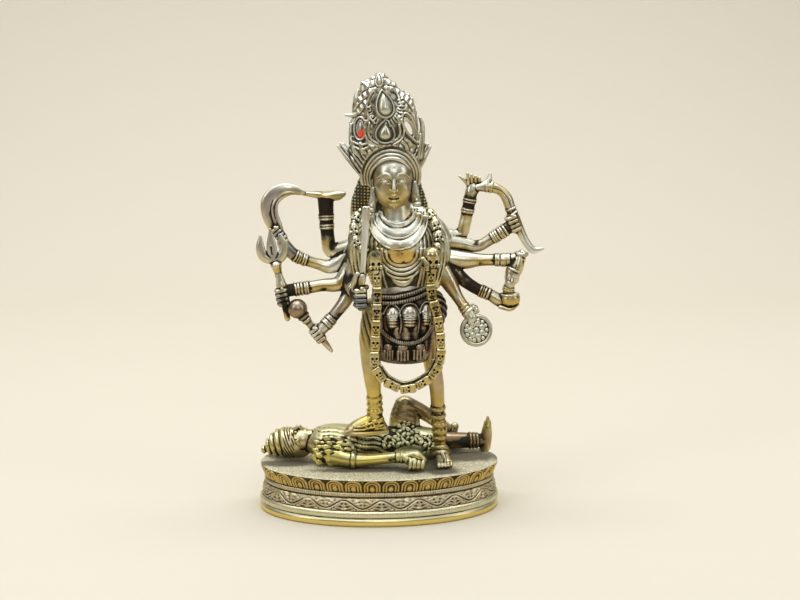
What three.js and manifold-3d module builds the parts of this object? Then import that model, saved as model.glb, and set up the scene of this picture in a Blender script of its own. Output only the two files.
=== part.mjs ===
// A ten-armed figure in cast brass. It stands with one foot on an oval lotus plinth and the other on a figure
// that lies on its back there. Millimetres, +Z up, the front faces -Y, and the origin is the centre of the
// plinth's underside.
import * as THREE from 'three';
import { mergeVertices } from 'three/addons/utils/BufferGeometryUtils.js';
import { ParametricGeometry } from 'three/addons/geometries/ParametricGeometry.js';
import Module from 'manifold-3d';

const wasm = await Module();
wasm.setup();

// Plinth: overall size, then its bands from the ground up
const plinthWidth = 201;
const plinthDepth = 115;
const footHeight = 6; // plain polished foot
const footBevel = 1; // rounding of the foot's lower and upper edges
const grooveHeight = 2.4; // dark groove above the foot
const grooveInset = 2;
const cordHeight = 5; // nicked band under the scroll
const scrollHeight = 10.4;
const neckInset = 5.2; // how far the neck above the scroll stands in from the foot
const beadHeight = 5.4;
const petalHeight = 10.3;
const rimInset = 1; // how far the top edge stands in from the foot
const bandRelief = 0.8; // how far the cord and bead bands stand out
const petalCount = 34;
const petalGap = 1.1; // width of the cut between two petals
const petalCut = 1.3; // depth of that cut

// The two figures: their pose, proportions and carving are shares of their own size
const figureHeight = 320.5; // standing figure, from the plinth's top to the crown's tip
const recliningLength = 194; // lying figure, from the hair's tip to the toes
const seat = 0.3; // clearance where one casting rests on another
const soleHeight = 27; // top of the lying figure's chest under the left foot, above the plinth's top

const deck = footHeight + grooveHeight + cordHeight + scrollHeight + beadHeight + petalHeight;
const towardsViewer = new THREE.Vector3(0, -1, 0);
const upwards = new THREE.Vector3(0, 0, 1);

const agedBrass = new THREE.MeshStandardMaterial({ color: 0x9a8650, roughness: 0.42, metalness: 1 });
const darkBrass = new THREE.MeshStandardMaterial({ color: 0x857446, roughness: 0.5, metalness: 1 });
const plinthBrass = new THREE.MeshStandardMaterial({ color: 0xb5913f, roughness: 0.38, metalness: 1 });

// A closed geometry as a solid for joining and cutting
function solid(geometry) {
  const bare = geometry.clone();
  bare.deleteAttribute('normal');
  bare.deleteAttribute('uv');
  const merged = mergeVertices(bare, 1e-4);
  const corners = merged.attributes.position.array;
  const index = merged.index.array;
  const triangles = [];
  const a = new THREE.Vector3();
  const b = new THREE.Vector3();
  const c = new THREE.Vector3();
  let volume = 0;
  for (let i = 0; i < index.length; i += 3) {
    const [p, q, r] = index.slice(i, i + 3);
    if (p === q || q === r || r === p) continue;
    triangles.push([p, q, r]);
    a.fromArray(corners, 3 * p);
    b.fromArray(corners, 3 * q);
    c.fromArray(corners, 3 * r);
    volume += a.dot(b.cross(c));
  }
  const outward = volume > 0 ? triangles : triangles.map(([p, q, r]) => [p, r, q]);
  return new wasm.Manifold(
    new wasm.Mesh({
      numProp: 3,
      vertProperties: Float32Array.from(corners),
      triVerts: Uint32Array.from(outward.flat()),
    }),
  );
}

function mesh(name, shape, material) {
  const result = shape.getMesh();
  const geometry = new THREE.BufferGeometry();
  geometry.setAttribute('position', new THREE.BufferAttribute(result.vertProperties, 3));
  geometry.setIndex(new THREE.BufferAttribute(result.triVerts, 1));
  geometry.computeVertexNormals();
  const made = new THREE.Mesh(geometry, material);
  made.name = name;
  return made;
}

const join = (shapes) => shapes.reduce((whole, next) => whole.add(next));

// A box between two corners
function block(low, high) {
  const size = new THREE.Vector3().subVectors(high, low);
  const middle = new THREE.Vector3().addVectors(low, high).multiplyScalar(0.5);
  return solid(new THREE.BoxGeometry(...size.toArray()).translate(...middle.toArray()));
}

// A sculptor's set of forms, in hundredths of one figure's own size, standing on the plinth's top
function modeller(size) {
  const unit = size / 100;
  const at = ([x, y, z]) => new THREE.Vector3(x * unit, y * unit, deck + z * unit);

  // A form swept through stations [x, y, z, half width, half depth]. Rings in relief, such as bangles, stand
  // side by side from one share of the sweep to another.
  function limb(stations, { sides = 5, facing = towardsViewer, rings = null } = {}) {
    const curve = new THREE.CatmullRomCurve3(stations.map(at));
    const spans = stations.length - 1;
    // A ring with an odd number of sides is narrower on one side, which this makes up for
    const swell = sides % 2 ? 2 / (1 + Math.cos(Math.PI / sides)) : 1;
    const rows = stations.map((_, i) => [i / spans, 0]);
    if (rings) {
      const { from, to, count, rise } = rings;
      const step = (to - from) / (2 * count);
      const plain = rows.filter(([t]) => t < from - step || t > to + step);
      rows.splice(0, rows.length, ...plain);
      for (let i = 0; i <= 2 * count; i += 1) rows.push([from + step * i, i % 2 ? rise : 0]);
      rows.sort((p, q) => p[0] - q[0]);
    }
    const radius = (t, column) => {
      const start = Math.min(Math.floor(t * spans), spans - 1);
      const [from, to] = [stations[start], stations[start + 1]];
      return THREE.MathUtils.lerp(from[column] ?? from[3], to[column] ?? to[3], t * spans - start);
    };
    const ring = (around, along, target) => {
      const row = Math.round(along * (rows.length + 1));
      const [t, rise] = rows[THREE.MathUtils.clamp(row - 1, 0, rows.length - 1)];
      curve.getPoint(t, target);
      if (row === 0 || row === rows.length + 1) return;
      const tangent = curve.getTangent(t);
      const across = new THREE.Vector3().crossVectors(tangent, facing).normalize();
      const depth = new THREE.Vector3().crossVectors(across, tangent);
      const angle = around * 2 * Math.PI;
      target.addScaledVector(across, Math.cos(angle) * (radius(t, 3) + rise) * unit * swell);
      target.addScaledVector(depth, Math.sin(angle) * (radius(t, 4) + rise) * unit * swell);
    };
    return solid(new ParametricGeometry(ring, sides, rows.length + 1));
  }

  // An ellipsoid, turned by degrees about Y as seen from the front
  function blob(centre, [wide, deep, high], { turn = 0, around = 6, rows = 4 } = {}) {
    const shape = new THREE.SphereGeometry(1, around, rows).rotateX(Math.PI / 2);
    shape.scale(wide * unit, deep * unit, high * unit).rotateY(THREE.MathUtils.degToRad(turn));
    return solid(shape.translate(...at(centre).toArray()));
  }

  // A turned form: profile [radius, distance along the axis] from `from` towards `to`
  function turned(profile, from, to, sides = 8) {
    const points = profile.map(([radius, along]) => new THREE.Vector2(radius * unit, along * unit));
    const axis = at(to).sub(at(from)).normalize();
    const shape = new THREE.LatheGeometry(points, sides);
    shape.applyQuaternion(new THREE.Quaternion().setFromUnitVectors(new THREE.Vector3(0, 1, 0), axis));
    return solid(shape.translate(...at(from).toArray()));
  }

  return { unit, at, limb, blob, turned };
}

// The oval plinth

// Turns a profile [inset from the foot's edge, height] into an oval body
function oval(profile, segments) {
  const points = profile.map(([inset, z]) => new THREE.Vector2(plinthWidth / 2 - inset, z));
  points.unshift(new THREE.Vector2(0, points[0].y));
  points.push(new THREE.Vector2(0, points.at(-1).y));
  const shape = new THREE.LatheGeometry(points, segments).rotateX(Math.PI / 2);
  const position = shape.attributes.position;
  for (let i = 0; i < position.count; i += 1) {
    const x = position.getX(i);
    const y = position.getY(i);
    const radius = Math.hypot(x, y);
    if (radius > 0) position.setY(i, (y / radius) * Math.max(radius - (plinthWidth - plinthDepth) / 2, 0));
  }
  return solid(shape);
}

// A point on the plinth's side: angle round it, height, and inset from the foot's edge
function side(angle, z, inset) {
  const x = (plinthWidth / 2 - inset) * Math.cos(angle);
  const y = (plinthDepth / 2 - inset) * Math.sin(angle);
  return new THREE.Vector3(x, y, z);
}

// Angles that part the oval into equal lengths of its edge
function evenAngles(count) {
  const edge = new THREE.EllipseCurve(0, 0, plinthWidth / 2, plinthDepth / 2);
  const places = edge.getSpacedPoints(count).slice(0, -1);
  return places.map((p) => Math.atan2(p.y / plinthDepth, p.x / plinthWidth));
}

function makePlinth() {
  const cordBase = footHeight + grooveHeight;
  const scrollBase = cordBase + cordHeight;
  const beadBase = scrollBase + scrollHeight;
  const petalBase = beadBase + beadHeight;
  const scrollInset = grooveInset * 0.7;
  const belly = (scrollInset + neckInset) * 0.42; // the scroll band swells out like an ovolo
  const body = oval(
    [
      [footBevel, 0],
      [0, footBevel],
      [0, footHeight],
      [grooveInset, footHeight + grooveHeight / 2],
      [scrollInset - bandRelief, cordBase],
      [scrollInset - bandRelief, scrollBase],
      [belly, scrollBase + scrollHeight * 0.55],
      [neckInset, beadBase],
      [neckInset - bandRelief, beadBase + beadHeight / 2],
      [neckInset, petalBase],
      [rimInset, deck - footBevel],
      [rimInset + footBevel, deck],
    ],
    32,
  );
  const cutLean = (neckInset - rimInset) / petalHeight;
  const cuts = evenAngles(petalCount).map((angle) => {
    const outward = side(angle, 0, 0).normalize();
    const size = [petalCut * 2, petalGap, petalHeight * 0.86];
    const groove = new THREE.BoxGeometry(...size).rotateY(Math.atan(cutLean));
    groove.rotateZ(Math.atan2(outward.y, outward.x));
    const place = side(angle, petalBase + petalHeight * 0.44, (neckInset + rimInset) / 2);
    return solid(groove.translate(...place.toArray()));
  });
  return body.subtract(join(cuts));
}

// The figure lying on its back, head to the left

function makeReclining() {
  const { limb, blob } = modeller(recliningLength);
  const hair = limb(
    [
      [-51.2, 8.2, 1.8, 0.7],
      [-46.5, 7.2, 4.1, 3.6],
      [-41.6, 5.2, 6.5, 6.5],
      [-37, 3.6, 6.9, 6.8],
    ],
    { sides: 6 },
  );
  const head = [
    blob([-34.3, 3.6, 7.2], [6.4, 6, 7], { around: 8, rows: 5 }),
    blob([-31.6, 2.8, 11.4], [3.6, 3.2, 2.4]),
    limb([[-35.4, 3, 12.2, 0.6], [-32.8, 2.6, 14.1, 0.9], [-31.8, 2.6, 12.8, 0.7]], { sides: 4 }),
    limb([[-31, 2.6, 6.8, 3.4], [-24, 1.6, 7, 4.6]]),
  ];
  const torso = limb(
    [
      [-29, 1.6, 7.4, 4, 5],
      [-23, 1.4, 7.6, 7.2, 10.4],
      [-14, 1.2, 7.6, 7.4, 10],
      [-5, 2.4, 6.8, 6.4, 8.4],
      [4, 3.2, 6.8, 6.2, 8],
      [14, 3.4, 7.2, 6.6, 8.6],
      [22, 4.6, 6.4, 5.6, 8],
    ],
    { sides: 8 },
  );
  const mantle = blob([-19.5, -7.6, 5], [9.4, 4.4, 5.2]);
  const nearArm = limb(
    [
      [-21, -8.2, 4.8, 4],
      [-12.7, -11.3, 3.6, 3.4],
      [-4.2, -12, 3.6, 2.6],
      [4.2, -12.6, 4.4, 2.4],
      [10.1, -13.9, 5, 2.7],
      [14, -16, 3.8, 3],
    ],
    { rings: { from: 0.2, to: 0.27, count: 1, rise: 0.9 } },
  );
  const knuckles = limb([[11.6, -16.6, 2.6, 1.9], [19, -16.2, 2.6, 1.9]], {
    rings: { from: 0, to: 1, count: 4, rise: 0.7 },
  });
  const farArm = limb([[-20, 9, 7, 3.4], [-6, 15, 4.6, 2.8], [8, 16.6, 3.4, 2.2], [15, 16, 2.4, 2]]);
  const leaf = (i) => blob([4.6 + 4.8 * i, -1.6 + 0.8 * i, 8.4], [2.8, 2.2, 4.4], { turn: 12 - 8 * i });
  const leaves = [0, 1, 2, 3].map(leaf);
  const raisedLeg = [
    limb([[10.8, 5, 9, 7.2, 4.6], [11.2, 5, 17.6, 6.8, 4], [11.2, 5.2, 23.4, 4.6, 3]], { sides: 6 }),
    limb([
      [11.4, 5.2, 23, 3.8],
      [19, 7.2, 18.8, 3.3],
      [24, 9.4, 14.8, 3],
      [29.7, 13.4, 9.6, 2.6],
      [33, 15.4, 6, 2.4],
    ]),
    limb([[32.4, 14.8, 6, 2.4], [34, 15.4, 9.6, 1.8]]),
    limb([[31.4, 15.4, 3, 2.8], [36.4, 16.2, 2, 1.8]]),
  ];
  const flatLeg = [
    limb([[18, 6.2, 6, 4.6], [26, 8.4, 5.3, 4], [37, 10.3, 4.7, 3.6], [46.4, 10.8, 4.4, 3]], { sides: 6 }),
    limb([[47, 10.4, 1.6, 2.6], [47.6, 10.4, 7.2, 2.7], [48, 10.3, 12.4, 1.7], [48, 10.3, 15.9, 0.5]]),
  ];
  const upperBody = [hair, ...head, torso, mantle, nearArm, knuckles, farArm];
  return join([...upperBody, ...leaves, ...raisedLeg, ...flatLeg]);
}

// The standing figure

function makeHead({ limb, blob }) {
  const skull = blob([3.4, -4.2, 73], [4.85, 5, 6.3], { around: 10, rows: 7 });
  const mouth = blob([3.7, -9, 70.5], [1.7, 1.2, 0.75]);
  return [
    skull.add(blob([3.5, -6.4, 69.4], [2.9, 2.5, 2.4])).subtract(mouth),
    blob([3.85, -8.3, 69.4], [0.95, 0.9, 1.5]),
    limb([[3.2, -8.6, 76, 0.5], [3.4, -9.6, 73.4, 0.6], [3.5, -9.8, 72.1, 0.95]], { sides: 4 }),
    ...[1.3, 5.5].map((x) => blob([x, -8.2, 74.4], [1.3, 0.7, 0.6])),
    limb([[4.1, -3.4, 68, 3], [4.4, -3.4, 62, 3.6]], { sides: 8 }),
    blob([-1.4, -3.4, 69.6], [1, 1.6, 3.6], { around: 5 }),
    blob([8.8, -3.4, 69.8], [1.1, 1.6, 3.4], { around: 5 }),
  ];
}

function makeCrown({ limb, blob, turned }) {
  const body = limb(
    [
      [2.6, -3.6, 75.5, 6.6, 5],
      [1.6, -3.4, 80, 8.8, 5.4],
      [1.6, -3.4, 86, 9.3, 4.8],
      [1.4, -3.6, 90.4, 7.4, 4.2],
      [1.3, -3.8, 95, 5.2, 3.2],
      [0.3, -4.2, 98.2, 2.9, 2],
      [0.1, -4.4, 100, 0.8, 0.8],
    ],
    { sides: 8 },
  );
  const band = limb(
    [-1, -0.5, 0, 0.5, 1].map((share) => {
      const rise = Math.cos(share * 1.5);
      return [2.6 + 6.5 * Math.sin(share * 1.5), -4.2 - 4.2 * rise, 73.6 + 6.6 * rise, 1.3, 0.9];
    }),
  );
  const jewels = [
    blob([0.2, -5.6, 98], [1.1, 0.9, 1.7], { around: 5, rows: 3 }),
    blob([0.9, -7, 93], [3.2, 1.5, 3.9], { around: 9 }),
    blob([1.7, -7.9, 86.3], [3.1, 1.5, 3.3], { around: 9 }),
    blob([-4.6, -6.2, 86.7], [2, 1.4, 3.1], { around: 7 }),
  ];
  const ring = limb(
    [
      [7.6, -4.6, 89.4, 0.9, 1],
      [5.6, -4.8, 86.6, 0.9, 1],
      [7, -4.8, 83.6, 0.9, 1],
      [9.6, -4.2, 80, 0.9, 1],
      [10.2, -3.8, 84, 0.9, 1],
      [9.6, -4.2, 88.2, 0.9, 1],
      [7.6, -4.6, 89.4, 0.9, 1],
    ],
    { sides: 4 },
  );
  return [
    body,
    band,
    ...jewels,
    ring,
    limb([[7.6, -3.4, 88.6, 1.6], [8.5, -3.1, 92.3, 1.2], [8.1, -3.1, 95, 0.3]], { sides: 4 }),
    limb([[-4.2, -3.4, 89, 1.6], [-4.2, -3.2, 94.6, 1.1], [-2.2, -3.6, 98.6, 0.7]], { sides: 4 }),
    limb([[-4.6, -3.6, 90.6, 1.3], [-6.6, -3.4, 89.8, 0.9], [-8.4, -3.1, 89.6, 0.3]], { sides: 4 }),
    limb([[-3.4, -3, 75.4, 1.2, 0.8], [-7, -2.9, 79.4, 1.5, 0.8], [-9.4, -2.5, 82.6, 0.4]], { sides: 4 }),
    limb([[8.8, -3, 75.6, 1, 0.8], [10.5, -2.8, 79.2, 1.2, 0.8], [12.2, -2.5, 82.2, 0.7, 0.4]], { sides: 4 }),
  ];
}

function makeTorso({ limb, blob }) {
  const trunk = limb(
    [
      [6.4, -1.5, 36, 8.2, 5.8],
      [6.3, -1.9, 43, 8, 5.8],
      [6, -2.6, 48.6, 7.6, 5],
      [5.7, -2.4, 53, 8.6, 5.6],
      [5.1, -2.2, 58, 10.4, 5.8],
      [5, -1.8, 61.6, 10.2, 4.4],
      [4.4, -2.6, 65.6, 4.6, 3.2],
    ],
    { sides: 8 },
  );
  const hair = limb(
    [
      [3, -0.4, 78, 5.4, 4.2],
      [2.7, 0.4, 72.4, 8, 4],
      [2.7, 1.2, 65.4, 10, 3.4],
      [3.6, 2.2, 57, 8.8, 2.8],
      [4.2, 2.9, 47, 6.4, 2],
    ],
    { sides: 8 },
  );
  const breasts = [1.9, 8.3].map((x) => blob([x, -6, 57.4], [3.7, 2.9, 3.5]));
  const shawls = [
    limb([
      [-1.8, -2.6, 65, 1.6, 2],
      [-5, -3.4, 60.6, 3, 3.2],
      [-5.6, -3.8, 55.6, 3, 3.4],
      [-5, -3.6, 50.6, 2, 2.6],
    ]),
    limb([
      [10.4, -2.6, 65, 1.8, 2],
      [15.2, -2.2, 60.2, 3.4, 3],
      [15.6, -3, 55, 3.4, 3.4],
      [13.8, -3, 48, 2.6, 2.8],
    ]),
  ];
  // A necklace [half width, top, bottom, how far it stands forward, radius]
  const strand = ([half, top, bottom, front, radius]) => {
    const arc = [-1, -0.7, -0.3, 0.3, 0.7, 1].map((share) => {
      const hang = Math.cos((share * Math.PI) / 2);
      const x = 4.6 + half * Math.sin((share * Math.PI) / 2);
      return [x, -3.4 - front * hang, top - (top - bottom) * hang, radius];
    });
    return limb(arc, { sides: 4 });
  };
  const necklaces = [
    [5.2, 64.6, 62, 4.3, 0.6],
    [7.4, 63.2, 59, 5.6, 0.7],
    [8.4, 62, 56.6, 6, 0.7],
    [6.2, 58.6, 51.2, 4.6, 0.7],
  ];
  return [trunk, hair, ...breasts, ...shawls, ...necklaces.map(strand)];
}

function makeSkirt({ limb, blob }) {
  const cloth = limb(
    [
      [6.3, -2.4, 46.4, 7.6, 6],
      [6.3, -2.7, 42, 8.8, 6.8],
      [6.4, -3, 36, 8.6, 7],
      [6.2, -3, 28.4, 7.2, 5.8],
    ],
    { sides: 8, rings: { from: 0.04, to: 0.26, count: 2, rise: 0.6 } },
  );
  const hip = blob([13.4, -1.6, 40.6], [4, 4, 4.4]);
  const headPlaces = [[2.9, -8.9, 39.4], [7.1, -9.3, 40], [11.2, -8.8, 40.6]];
  const heads = headPlaces.map((place) => blob(place, [1.8, 1.5, 2.9]));
  const swag = limb(
    [
      [0.6, -6.4, 37, 0.6],
      [3, -8.8, 34.8, 0.65],
      [6.6, -9.6, 34, 0.65],
      [10, -8.8, 34.8, 0.65],
      [12.8, -6.4, 37, 0.6],
    ],
    { sides: 4 },
  );
  const hands = [2.2, 5.7, 9.4].map((x) => blob([x, -8.3, 31], [1.5, 1.1, 2.6]));
  return [cloth, hip, ...heads, swag, ...hands];
}

const anklets = (from, to) => ({ from, to, count: 3, rise: 0.3 });
const bangles = (from, to) => ({ from, to, count: 2, rise: 0.26 });

function makeLegs({ unit, limb, blob }) {
  const sole = soleHeight / unit; // the left sole rests on the lying figure, whatever that one's size
  const left = limb(
    [
      [-1.6, -2.8, 41, 2.6, 4.2],
      [-2.4, -3.1, 34, 2.7, 3.6],
      [-2.2, -3.8, 28, 2.6, 3],
      [-1.8, -4.2, 22.6, 2.2, 2.5],
      [-1.4, -4.4, sole + 9.4, 1.8, 2],
      [-1.1, -4.4, sole + 2.4, 2.1, 2.2],
    ],
    { sides: 6, rings: anklets(0.7, 0.94) },
  );
  const leftFoot = limb([
    [0.9, -4.4, sole + 1.2, 1.3, 1.5],
    [-1.7, -4.5, sole + 2.4, 3.2, 2],
    [-5, -5, sole + 1.9, 2.7, 2.1],
    [-8.9, -5.3, sole + 0.7, 1, 2.1],
  ]);
  const right = limb(
    [
      [12.6, -2.6, 41, 2.9, 4.2],
      [13.1, -2.6, 34, 2.8, 3.6],
      [13.7, -3.2, 26, 2.3, 3],
      [14.7, -3.4, 20.4, 1.9, 2.3],
      [15.1, -2.8, 14, 1.8, 1.9],
      [15.7, -1.8, 7.6, 1.85, 1.9],
      [15.9, -1.5, 2, 1.4, 1.5],
    ],
    { sides: 6, rings: anklets(0.64, 0.85) },
  );
  const rightFoot = [
    limb(
      [
        [15.7, 0.6, 1.2, 1.3, 1.4],
        [16, -2.6, 2.2, 1.7, 2.2],
        [16.4, -6, 1.5, 2.1, 1.6],
        [16.9, -9.2, 0.8, 2.2, 0.9],
      ],
      { facing: upwards },
    ),
    blob([16, -3, 3.8], [1.9, 1.4, 0.8]),
  ];
  return { left: [left, leftFoot], right: [right, ...rightFoot] };
}

function makeGarland({ limb, blob }) {
  const string = limb(
    [
      [-4.6, -2.6, 66, 0.9],
      [-6.2, -5, 62.7, 1.1],
      [-5.4, -6.8, 58.1, 1.2],
      [-1.4, -9.2, 53.6, 1.2],
      [-0.8, -9.8, 46.9, 1.2],
      [-1, -10.3, 39.9, 1.2],
      [-1.3, -10.6, 33.1, 1.2],
      [-1.3, -10.9, 28, 1.2],
      [1.2, -11.2, 24.2, 1.2],
      [6.4, -11.5, 22.2, 1.2],
      [12, -11.2, 24.6, 1.2],
      [14.7, -10.9, 28.6, 1.2],
      [15, -10.6, 34.2, 1.2],
      [14.2, -10.3, 40.5, 1.2],
      [12.7, -9.8, 46.7, 1.2],
      [13, -9.4, 54.2, 1.2],
      [14.7, -6.9, 58.8, 1.2],
      [13.6, -4.6, 63.6, 1.1],
      [12, -2.4, 66, 0.9],
    ],
    { sides: 4, rings: { from: 0.06, to: 0.94, count: 28, rise: 0.45 } },
  );
  return [
    string,
    blob([-1.2, -10, 53.8], [2.1, 1.7, 2.3]),
    blob([13, -9.8, 54.4], [2.6, 1.7, 2.6]),
  ];
}

// A closed hand rolled round a grip, with a ridge for each finger where `fingers` asks for them
function fist({ limb }, [x, y, z], turn = 0, size = 1, fingers = 0) {
  const tilt = THREE.MathUtils.degToRad(turn);
  const grip = (along, wide) => [x + along * Math.sin(tilt), y, z + along * Math.cos(tilt), wide * size];
  const rings = fingers ? { from: 0, to: 1, count: fingers, rise: 0.4 * size } : null;
  return limb([grip(-2.1 * size, 1.2), grip(0, 1.7), grip(2.1 * size, 1.2)], { rings });
}

function makeLeftArms(forms) {
  const { limb, turned } = forms;
  const palmArm = [
    limb(
      [
        [-7.5, 0.3, 56, 2.3],
        [-12, 0.9, 55.4, 2],
        [-13, 0.6, 59.4, 1.7],
        [-13.4, 0.3, 68.4, 2.1],
      ],
      { rings: bangles(0.6, 0.78) },
    ),
    limb([
      [-19, -0.3, 70, 0.5, 0.8],
      [-16.2, 0, 69.7, 0.8, 1.8],
      [-13.2, 0, 69.5, 1, 2],
      [-10.7, 0.3, 69.4, 1.3, 1.6],
      [-8.9, 0.3, 69.8, 0.7, 1],
    ]),
  ];
  const bladeArm = [
    limb(
      [
        [-7.2, 0, 54.8, 2.3],
        [-11.8, -0.3, 51.5, 1.9],
        [-15.4, -0.6, 52.1, 1.5],
        [-19.2, -0.9, 53.4, 1.5],
        [-21.9, -1.2, 54.9, 1.6],
        [-24.2, -1.7, 57.6, 1.7],
      ],
      { rings: bangles(0.56, 0.74) },
    ),
    fist(forms, [-25.1, -1.9, 60.2], -38, 0.95),
    limb(
      [
        [-24.3, -1.9, 58.4, 1, 1],
        [-26, -1.9, 61.7, 1.8, 1],
        [-27.4, -1.9, 65.2, 2.1, 0.75],
        [-27.2, -1.9, 68.4, 2.2, 0.75],
        [-25, -1.9, 70.5, 2, 0.75],
        [-22.1, -1.9, 71.2, 1.5, 0.6],
        [-18.7, -1.2, 70.2, 0.7, 0.5],
      ],
      { sides: 4 },
    ),
  ];
  const prong = (tip, bow, foot) => limb([[...foot, 1.2], [...bow, 1.2], [...tip, 0.3]], { sides: 4 });
  const tridentArm = [
    limb(
      [
        [-6.8, -0.9, 52.5, 2.5],
        [-9.8, -1.6, 47.4, 2],
        [-14.4, -2.2, 46.9, 1.7],
        [-18.2, -2.8, 46.4, 1.7],
        [-21.5, -3.1, 46, 1.7],
        [-24, -3.9, 45.7, 1.6],
      ],
      { rings: bangles(0.62, 0.78) },
    ),
    fist(forms, [-24.6, -4, 45.1], -12, 1.2),
    limb([
      [-23.3, -4.4, 38.8, 0.8],
      [-24.4, -4.4, 44.2, 0.9],
      [-25, -4.4, 48.3, 1.3],
      [-25.7, -4.4, 51.7, 0.9],
      [-26.2, -4.4, 53.9, 1.2],
    ]),
    prong([-27.2, -4.4, 61.4], [-27, -4.4, 57.4], [-26.3, -4.4, 53]),
    prong([-29.7, -4.4, 59.8], [-29.7, -4.4, 56], [-26.4, -4.4, 53.4]),
    prong([-24.5, -4.4, 60.2], [-23.8, -4.4, 56.6], [-26, -4.4, 53.4]),
  ];
  const maceArm = [
    limb(
      [
        [-6.8, -1.6, 48.6, 2],
        [-8.3, -2.7, 43.6, 1.8],
        [-11, -3.5, 40, 1.6],
        [-13.4, -4.4, 37.4, 1.7],
        [-15.3, -5, 35.5, 1.6],
      ],
      { rings: bangles(0.58, 0.76) },
    ),
    fist(forms, [-15.8, -5, 35], 138, 0.95),
    turned(
      [
        [0, -2.5],
        [1.7, -1.9],
        [2.4, -0.1],
        [1.9, 1.6],
        [1.3, 2.3],
        [1.7, 3],
        [1.3, 3.8],
        [0.9, 11],
        [0, 14.1],
      ],
      [-20.7, -5, 41.4],
      [-12.3, -5, 30.5],
    ),
  ];
  const swordArm = [
    limb(
      [
        [-5.7, -1.9, 55.2, 2.3],
        [-7, -3.1, 47.8, 2],
        [-6.3, -6.2, 46.5, 1.8],
        [-5.4, -9.2, 46, 1.7],
      ],
      { facing: new THREE.Vector3(1, -0.2, 0.2) },
    ),
    fist(forms, [-4.7, -10.4, 45.4], 3, 1.15, 4),
    limb([[-5.9, -10.6, 46.6, 0.9], [-6, -10.9, 49, 1], [-5.4, -11, 51, 0.7]], { sides: 4 }),
    limb([[-4.7, -11, 42.4, 0.8], [-4.4, -11.1, 50, 0.7]], { sides: 4 }),
    limb([[-4.4, -11.2, 49.6, 0.7, 0.35], [-3.3, -11.2, 67.8, 1.1, 0.35]], { sides: 4 }),
  ];
  return [...palmArm, ...bladeArm, ...tridentArm, ...maceArm, ...swordArm];
}

function makeRightArms(forms) {
  const { limb, blob, turned } = forms;
  const openHandArm = [
    limb(
      [
        [16.4, 0.6, 58.4, 2.6],
        [20.8, 1.1, 59, 1.8],
        [22.2, 0.8, 63, 1.6],
        [23.5, 0.2, 70.2, 1.7],
      ],
      { rings: bangles(0.6, 0.78) },
    ),
    blob([24, 0, 71.2], [1.8, 1.4, 1.8]),
    limb([[23.6, 0, 71.4, 0.8], [22, -0.2, 72.9, 0.6], [20.4, -0.4, 74.2, 0.3]], { sides: 4 }),
    limb([[24.2, -0.2, 71.6, 1.3, 0.7], [24.2, -0.4, 74.1, 1.2, 0.6]], { sides: 4 }),
  ];
  const bow = [
    limb([
      [25.2, -0.6, 71.4, 1],
      [27.9, -0.9, 71.6, 1.5],
      [30.7, -0.9, 70.6, 1.2],
      [32.4, -1.2, 68.7, 1.5],
      [33.4, -1.2, 66, 1.4],
      [34.7, -1.2, 63.2, 1.3],
      [36.3, -1.2, 59.6, 1.2],
      [37.7, -1.2, 57.1, 1.1],
      [39.4, -1.2, 55.4, 1],
      [41.9, -1.2, 55.7, 0.3],
    ]),
    limb([[27.6, -0.9, 72.2, 0.9], [28.2, -0.9, 75, 0.3]], { sides: 4 }),
  ];
  const bowGripArm = [
    limb(
      [
        [16.4, 0, 57.6, 2.4],
        [21.3, -0.3, 57, 1.8],
        [25.1, -0.6, 56.4, 1.55],
        [28.1, -0.9, 58, 1.6],
        [31.1, -1.4, 60, 1.7],
        [33.8, -1.6, 61.8, 1.7],
      ],
      { rings: bangles(0.66, 0.84) },
    ),
    fist(forms, [34.4, -1.6, 62.2], -18, 1.05),
  ];
  const headArm = [
    limb(
      [
        [16.4, -0.9, 53.6, 2.8],
        [21.7, -1.6, 53, 2.4],
        [25.7, -2.2, 53.1, 1.6],
        [30, -2.8, 53.2, 1.6],
        [32.8, -3.1, 53.2, 1.7],
        [35.4, -3.7, 53.6, 1.8],
      ],
      { rings: bangles(0.62, 0.84) },
    ),
    fist(forms, [35.8, -3.9, 53], 20, 0.95),
    limb([
      [35.4, -4.4, 53.4, 1],
      [34.6, -4.4, 51.7, 1.7, 1.8],
      [33.5, -4.4, 49.2, 1.9, 1.9],
      [32.9, -4.4, 47.4, 1.6, 1.6],
      [32.7, -4.2, 45.4, 1.4, 1.4],
    ]),
  ];
  const bowlArm = [
    limb(
      [
        [16.8, -1.2, 52.6, 2.3],
        [21.2, -2.2, 48.2, 1.7],
        [24.7, -2.8, 45.8, 1.55],
        [28, -3.4, 44.4, 1.6],
        [30.8, -3.7, 42.8, 1.8],
        [33.8, -3.7, 42.2, 1.6],
      ],
      { rings: bangles(0.52, 0.7) },
    ),
    turned(
      [[0, -0.2], [1.8, 0], [2.8, 1.2], [2.6, 2.8], [1.7, 3.5], [1.7, 4.2], [0, 4.2]],
      [33.3, -3.9, 41.5],
      [33.1, -3.9, 46],
    ),
  ];
  const discArm = [
    limb(
      [
        [14.4, -2, 53, 2.7],
        [17.4, -3.4, 48.1, 2.2],
        [19.6, -4.4, 44.3, 1.5],
        [21.3, -5.3, 41.7, 1.4],
        [23.2, -6, 38.9, 1.7],
      ],
      { rings: bangles(0.74, 0.88) },
    ),
    turned(
      [[0, -0.6], [4.2, -0.6], [4.2, 0.3], [3.5, 0.6], [3.1, 0.3], [1.2, 0.3], [0, 0.9]],
      [24.4, -6.9, 35.8],
      [24.4, -9, 36.2],
      14,
    ),
  ];
  return [...openHandArm, ...bow, ...bowGripArm, ...headArm, ...bowlArm, ...discArm];
}

// Everything is built here
const forms = modeller(figureHeight);
const legs = makeLegs(forms);
const far = Math.max(plinthWidth, figureHeight);

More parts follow.
